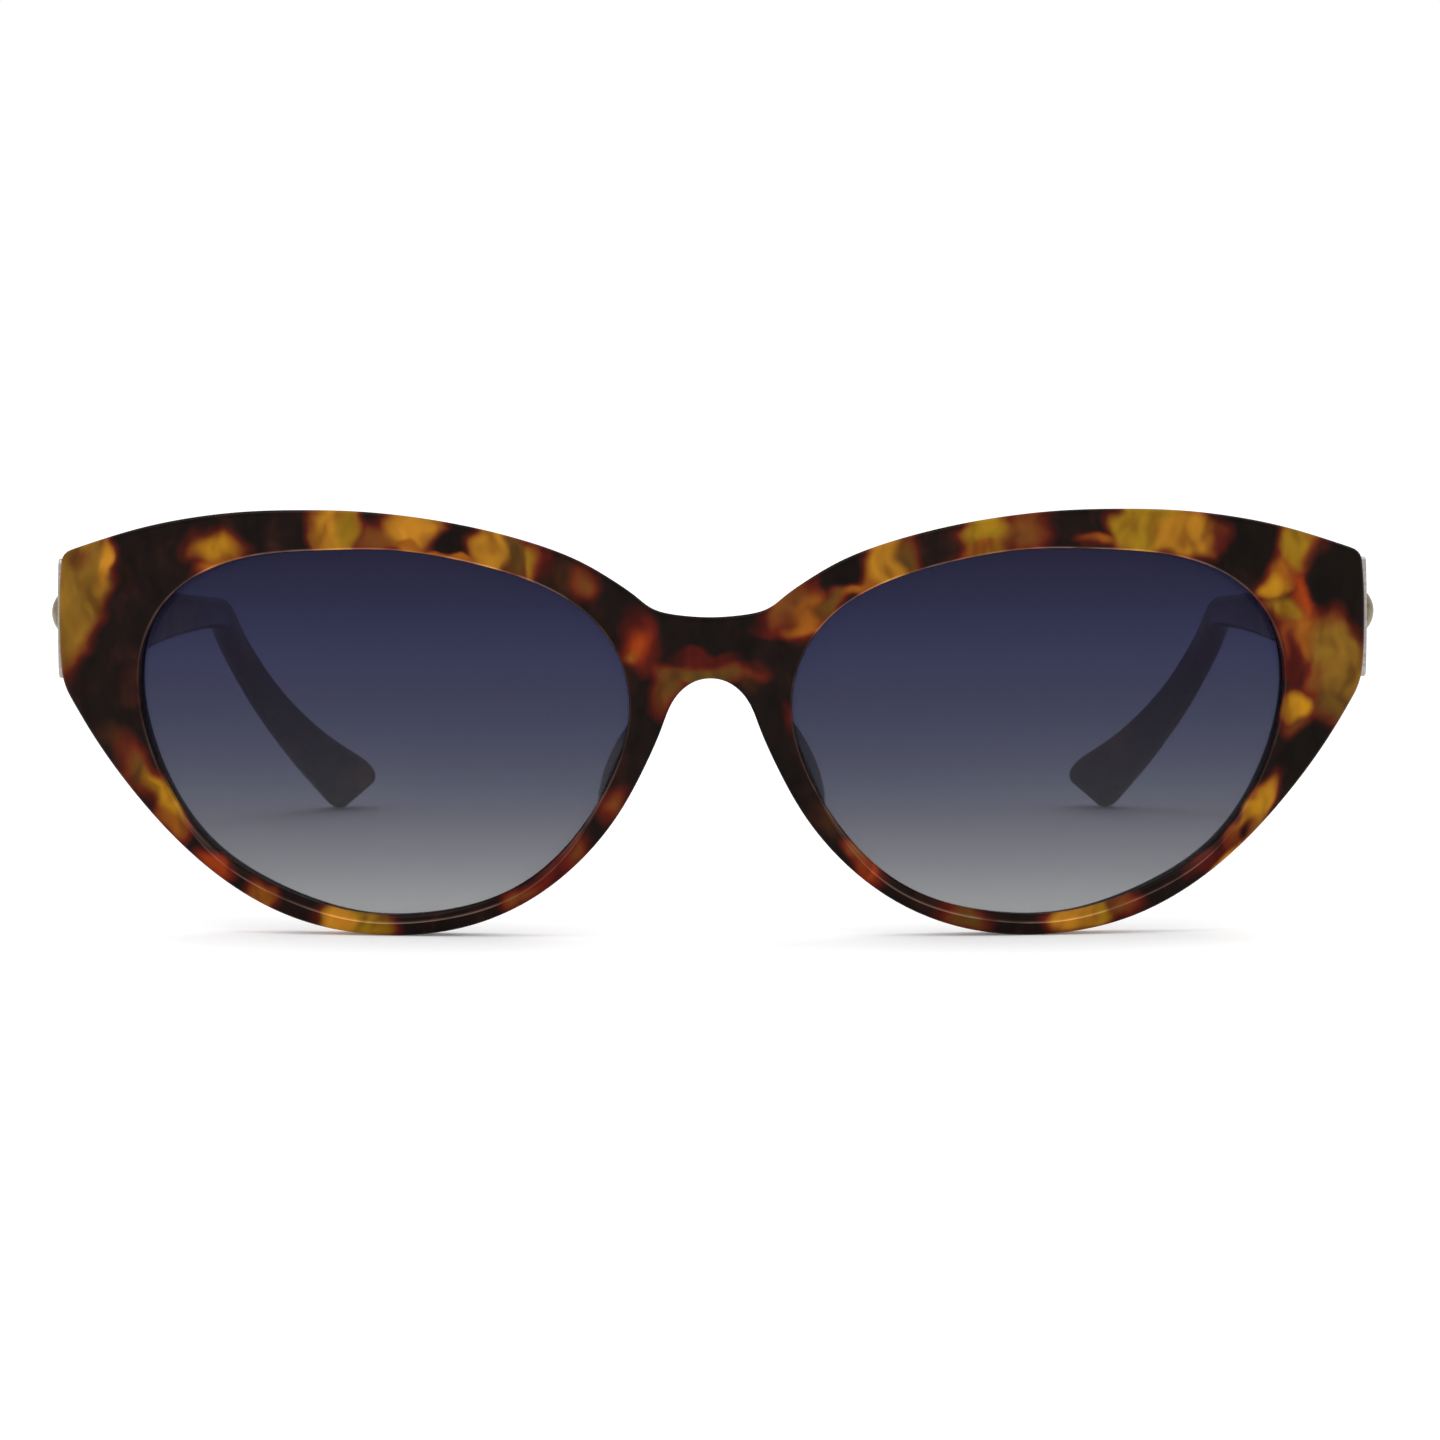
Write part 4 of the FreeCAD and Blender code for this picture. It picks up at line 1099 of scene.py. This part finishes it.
    # painted highlight: the eye edges' rounds and lower bevel are lightened toward a light warm tone, with
    # strength varying along their length
    painted_highlight = k.add("ShaderNodeAttribute", attribute_name="painted_edge_highlight")
    highlight_vary = k.noise(pos, 0.22, 2.0, 0.5)
    lit = k.mapr(highlight_vary.outputs[0], 0.36, 0.58, 0.35, 1.0)
    highlight_tint = k.mix(1.0, k.mix(1.0, col, (1.9, 1.9, 1.9, 1), "MULTIPLY"), (0.190, 0.115, 0.092, 1), "ADD")
    col = k.mix(k.math("MULTIPLY", painted_highlight.outputs["Fac"], lit), col, highlight_tint)
    rough = k.mapr(k.noise(pos, 1.6, 3.0, 0.6).outputs[0], 0.3, 0.7, 0.10, 0.17, smooth=False)
    ripple = k.noise(pos, 0.35, 2.0, 0.5)
    if wall:
        p = k.principled(col, 0.5, Specular_IOR_Level=0.0)
    else:
        p = k.principled(col, rough, bump=ripple.outputs[0], bump_strength=0.10,
                         bump_dist=0.0003, IOR=1.45, Specular_IOR_Level=0.07)
    return k.out(p.outputs[0])


M_FRONT = tortoise("tortoise_front", True)
M_FRONT_WALL = tortoise("tortoise_front_wall", True, wall=True)
M_TEMPLE = tortoise("tortoise_temple", False)


def lens_material():
    k = Nodes("gradient_lens")
    tc = k.add("ShaderNodeTexCoord")
    sep = k.add("ShaderNodeSeparateXYZ")
    k.link(tc.outputs["Object"], sep.inputs[0])
    h = k.mapr(sep.outputs[2], 0.0023, 0.0425, 0.0, 1.0, smooth=False)
    soft = k.noise(k.vmath("SCALE", tc.outputs["Object"], 1000.0).outputs[0], 0.04, 1.0, 0.4)
    h = k.math("ADD", h, k.math("MULTIPLY", k.math("SUBTRACT", soft.outputs[0], 0.5), 0.03))
    # light let through, blue above and neutral below; a ray crosses both faces, so
    # each face lets the square root through: first how much, then its colour
    let = [(0.0, 0.520), (0.033, 0.492), (0.114, 0.415), (0.196, 0.360), (0.278, 0.313),
           (0.36, 0.281), (0.441, 0.255), (0.523, 0.242), (0.605, 0.232), (0.687, 0.231),
           (0.768, 0.213), (0.85, 0.189), (0.973, 0.151)]
    hue = [(0.0, 0.985, 0.990), (0.033, 0.979, 0.988), (0.114, 0.957, 0.967),
           (0.196, 0.921, 0.927), (0.278, 0.876, 0.879), (0.36, 0.784, 0.836),
           (0.441, 0.755, 0.788), (0.523, 0.701, 0.743), (0.605, 0.680, 0.713),
           (0.687, 0.623, 0.670), (0.768, 0.581, 0.636), (0.85, 0.563, 0.606),
           (0.973, 0.560, 0.600)]
    # faint haze of the lens itself
    own = [(0.03, (0.0545, 0.0545, 0.0560)), (0.11, (0.0470, 0.0470, 0.0490)),
           (0.20, (0.0410, 0.0410, 0.0447)), (0.28, (0.0365, 0.0358, 0.0405)),
           (0.36, (0.0305, 0.0294, 0.0354)), (0.44, (0.0242, 0.0224, 0.0303)),
           (0.52, (0.0184, 0.0170, 0.0243)), (0.60, (0.0142, 0.0131, 0.0205)),
           (0.69, (0.0125, 0.0101, 0.0203)), (0.85, (0.0115, 0.0094, 0.0183)),
           (0.97, (0.0109, 0.0085, 0.0176))]
    see = k.ramp(h, [(p0, (v, v, v, 1)) for p0, v in let])
    tint = k.ramp(h, [(p0, (r, g, 1, 1)) for p0, r, g in hue])
    haze = k.ramp(h, [(p0, c + (1,)) for p0, c in own])
    bw = k.add("ShaderNodeRGBToBW")
    k.link(see, bw.inputs[0])
    alpha = k.math("SUBTRACT", 1.0, bw.outputs[0])
    clear = k.add("ShaderNodeBsdfTransparent")
    k.link(tint, clear.inputs[0])
    p = k.principled(haze, 0.06, IOR=1.5, Specular_IOR_Level=0.06)
    mix = k.add("ShaderNodeMixShader")
    k.link(alpha, mix.inputs[0])
    k.link(clear.outputs[0], mix.inputs[1])
    k.link(p.outputs[0], mix.inputs[2])
    return k.out(mix.outputs[0])


M_LENS = lens_material()


def metal(name, dark, light, rough_lo, rough_hi, brushed=None, scale=0.8, metallic=1.0):
    k = Nodes(name)
    tc = k.add("ShaderNodeTexCoord")
    pos = k.vmath("SCALE", tc.outputs["Object"], 1000.0).outputs[0]
    if brushed:
        pos2 = k.vmath("MULTIPLY", pos, brushed).outputs[0]
    else:
        pos2 = pos
    n = k.noise(pos2, scale, 4.0, 0.6)
    col = k.ramp(n.outputs[0], [(0.3, dark), (0.7, light)])
    rough = k.mapr(n.outputs[0], 0.3, 0.7, rough_lo, rough_hi, smooth=False)
    p = k.principled(col, rough, bump=n.outputs[0], bump_strength=0.06, bump_dist=0.00005,
                     Metallic=metallic)
    return k.out(p.outputs[0])


M_SILVER = metal("plaque_silver", srgb(146, 139, 137), srgb(174, 167, 164), 0.22, 0.34,
                 brushed=(1.0, 0.25, 3.0), scale=1.2)
M_BRASS = metal("antique_brass", srgb(92, 82, 62), srgb(140, 128, 104), 0.26, 0.42, scale=1.4)
M_STEEL = metal("hinge_steel", srgb(150, 146, 138), srgb(198, 193, 184), 0.24, 0.38,
                brushed=(2.0, 2.0, 0.5), scale=1.5)
M_SCREW = metal("screw_steel", srgb(160, 156, 150), srgb(204, 200, 192), 0.20, 0.34, scale=2.0)
M_WIRE = metal("core_wire", srgb(150, 142, 122), srgb(188, 178, 152), 0.25, 0.4, scale=1.0)


def wear(ob, mat):
    if len(ob.data.materials):
        ob.data.materials[0] = mat
    else:
        ob.data.materials.append(mat)


wear(front, M_FRONT)
front.data.materials.append(M_FRONT_WALL)
for side in ("left", "right"):
    wear(lenses[side], M_LENS)
    wear(temples[side], M_TEMPLE)
    wear(pads[side], M_TEMPLE)
    wear(plaques[side], M_SILVER)
    wear(studs[side], M_BRASS)
for name, mat in (("front_hinge", M_STEEL), ("temple_hinge", M_STEEL), ("hinge_screw", M_SCREW),
                  ("temple_rivets", M_SCREW), ("temple_core", M_WIRE)):
    for side in ("left", "right"):
        ob = frame["nodes"][name + "_" + side]
        for s in ob.material_slots:
            s.material = mat

# ------------------------------------------------------- floor, light, camera
floor_me = bpy.data.meshes.new("floor")
S = 30.0
floor_me.from_pydata([(-S, -S, 0), (S, -S, 0), (S, S, 0), (-S, S, 0)], [], [(0, 1, 2, 3)])
floor = bpy.data.objects.new("floor", floor_me)
bpy.context.scene.collection.objects.link(floor)
k = Nodes("pale_floor")
tc = k.add("ShaderNodeTexCoord")
n = k.noise(tc.outputs["Object"], 3.0, 3.0, 0.5)
col = k.ramp(n.outputs[0], [(0.3, (0.955, 0.955, 0.955, 1)), (0.7, (0.965, 0.965, 0.965, 1))])
p = k.principled(col, 0.9, Specular_IOR_Level=0.0, Emission_Color=(1, 1, 1, 1), Emission_Strength=0.11)
wear(floor, k.out(p.outputs[0]))

world = bpy.data.worlds.new("studio")
bpy.context.scene.world = world
world.use_nodes = True
bg = world.node_tree.nodes["Background"]
bg.inputs[0].default_value = (1.0, 1.0, 1.0, 1.0)
bg.inputs[1].default_value = 1.0


def area(name, loc, target, size, power, color=(1, 1, 1)):
    li = bpy.data.lights.new(name, "AREA")
    li.shape = "RECTANGLE"
    li.size, li.size_y = size
    li.energy = power
    li.color = color
    ob = bpy.data.objects.new(name, li)
    ob.location = loc
    ob.rotation_euler = (Vector(target) - Vector(loc)).to_track_quat("-Z", "Y").to_euler()
    bpy.context.scene.collection.objects.link(ob)
    return ob


area("key_soft", (-0.25, -0.15, 0.75), (0, -0.04, 0.02), (0.6, 0.5), 1.4)
area("top_soft", (0.30, 0.20, 0.70), (0, 0.0, 0.02), (0.5, 0.5), 0.9)

scene = bpy.context.scene
scene.view_settings.view_transform = "Standard"
scene.view_settings.look = "None"
scene.view_settings.exposure = 0.0
scene.view_settings.gamma = 1.0

AZ = math.radians(0.6)
CAM_DIST, CAM_UP, AIM_X, AIM_UP = 600.0, 73.0, 1.00, 23.80
cam_data = bpy.data.cameras.new("camera")
cam = bpy.data.objects.new("camera", cam_data)
scene.collection.objects.link(cam)
eye = np.array([math.sin(AZ) * CAM_DIST, -math.cos(AZ) * CAM_DIST, CAM_UP])
aim = np.array([AIM_X, 0.0, AIM_UP])
eye, aim = (eye + SHIFT * np.array([1, 1, 0])) * MM, (aim + SHIFT * np.array([1, 1, 0])) * MM
cam.location = eye
cam.rotation_euler = (Vector(aim) - Vector(eye)).to_track_quat("-Z", "Y").to_euler()
cam.rotation_euler.rotate_axis("Z", math.radians(-0.12))
cam_data.sensor_width = 36.0
cam_data.lens = 36.0 * 5550.0 / 1440.0
cam_data.clip_start = 0.01
cam_data.clip_end = 20.0
scene.camera = cam
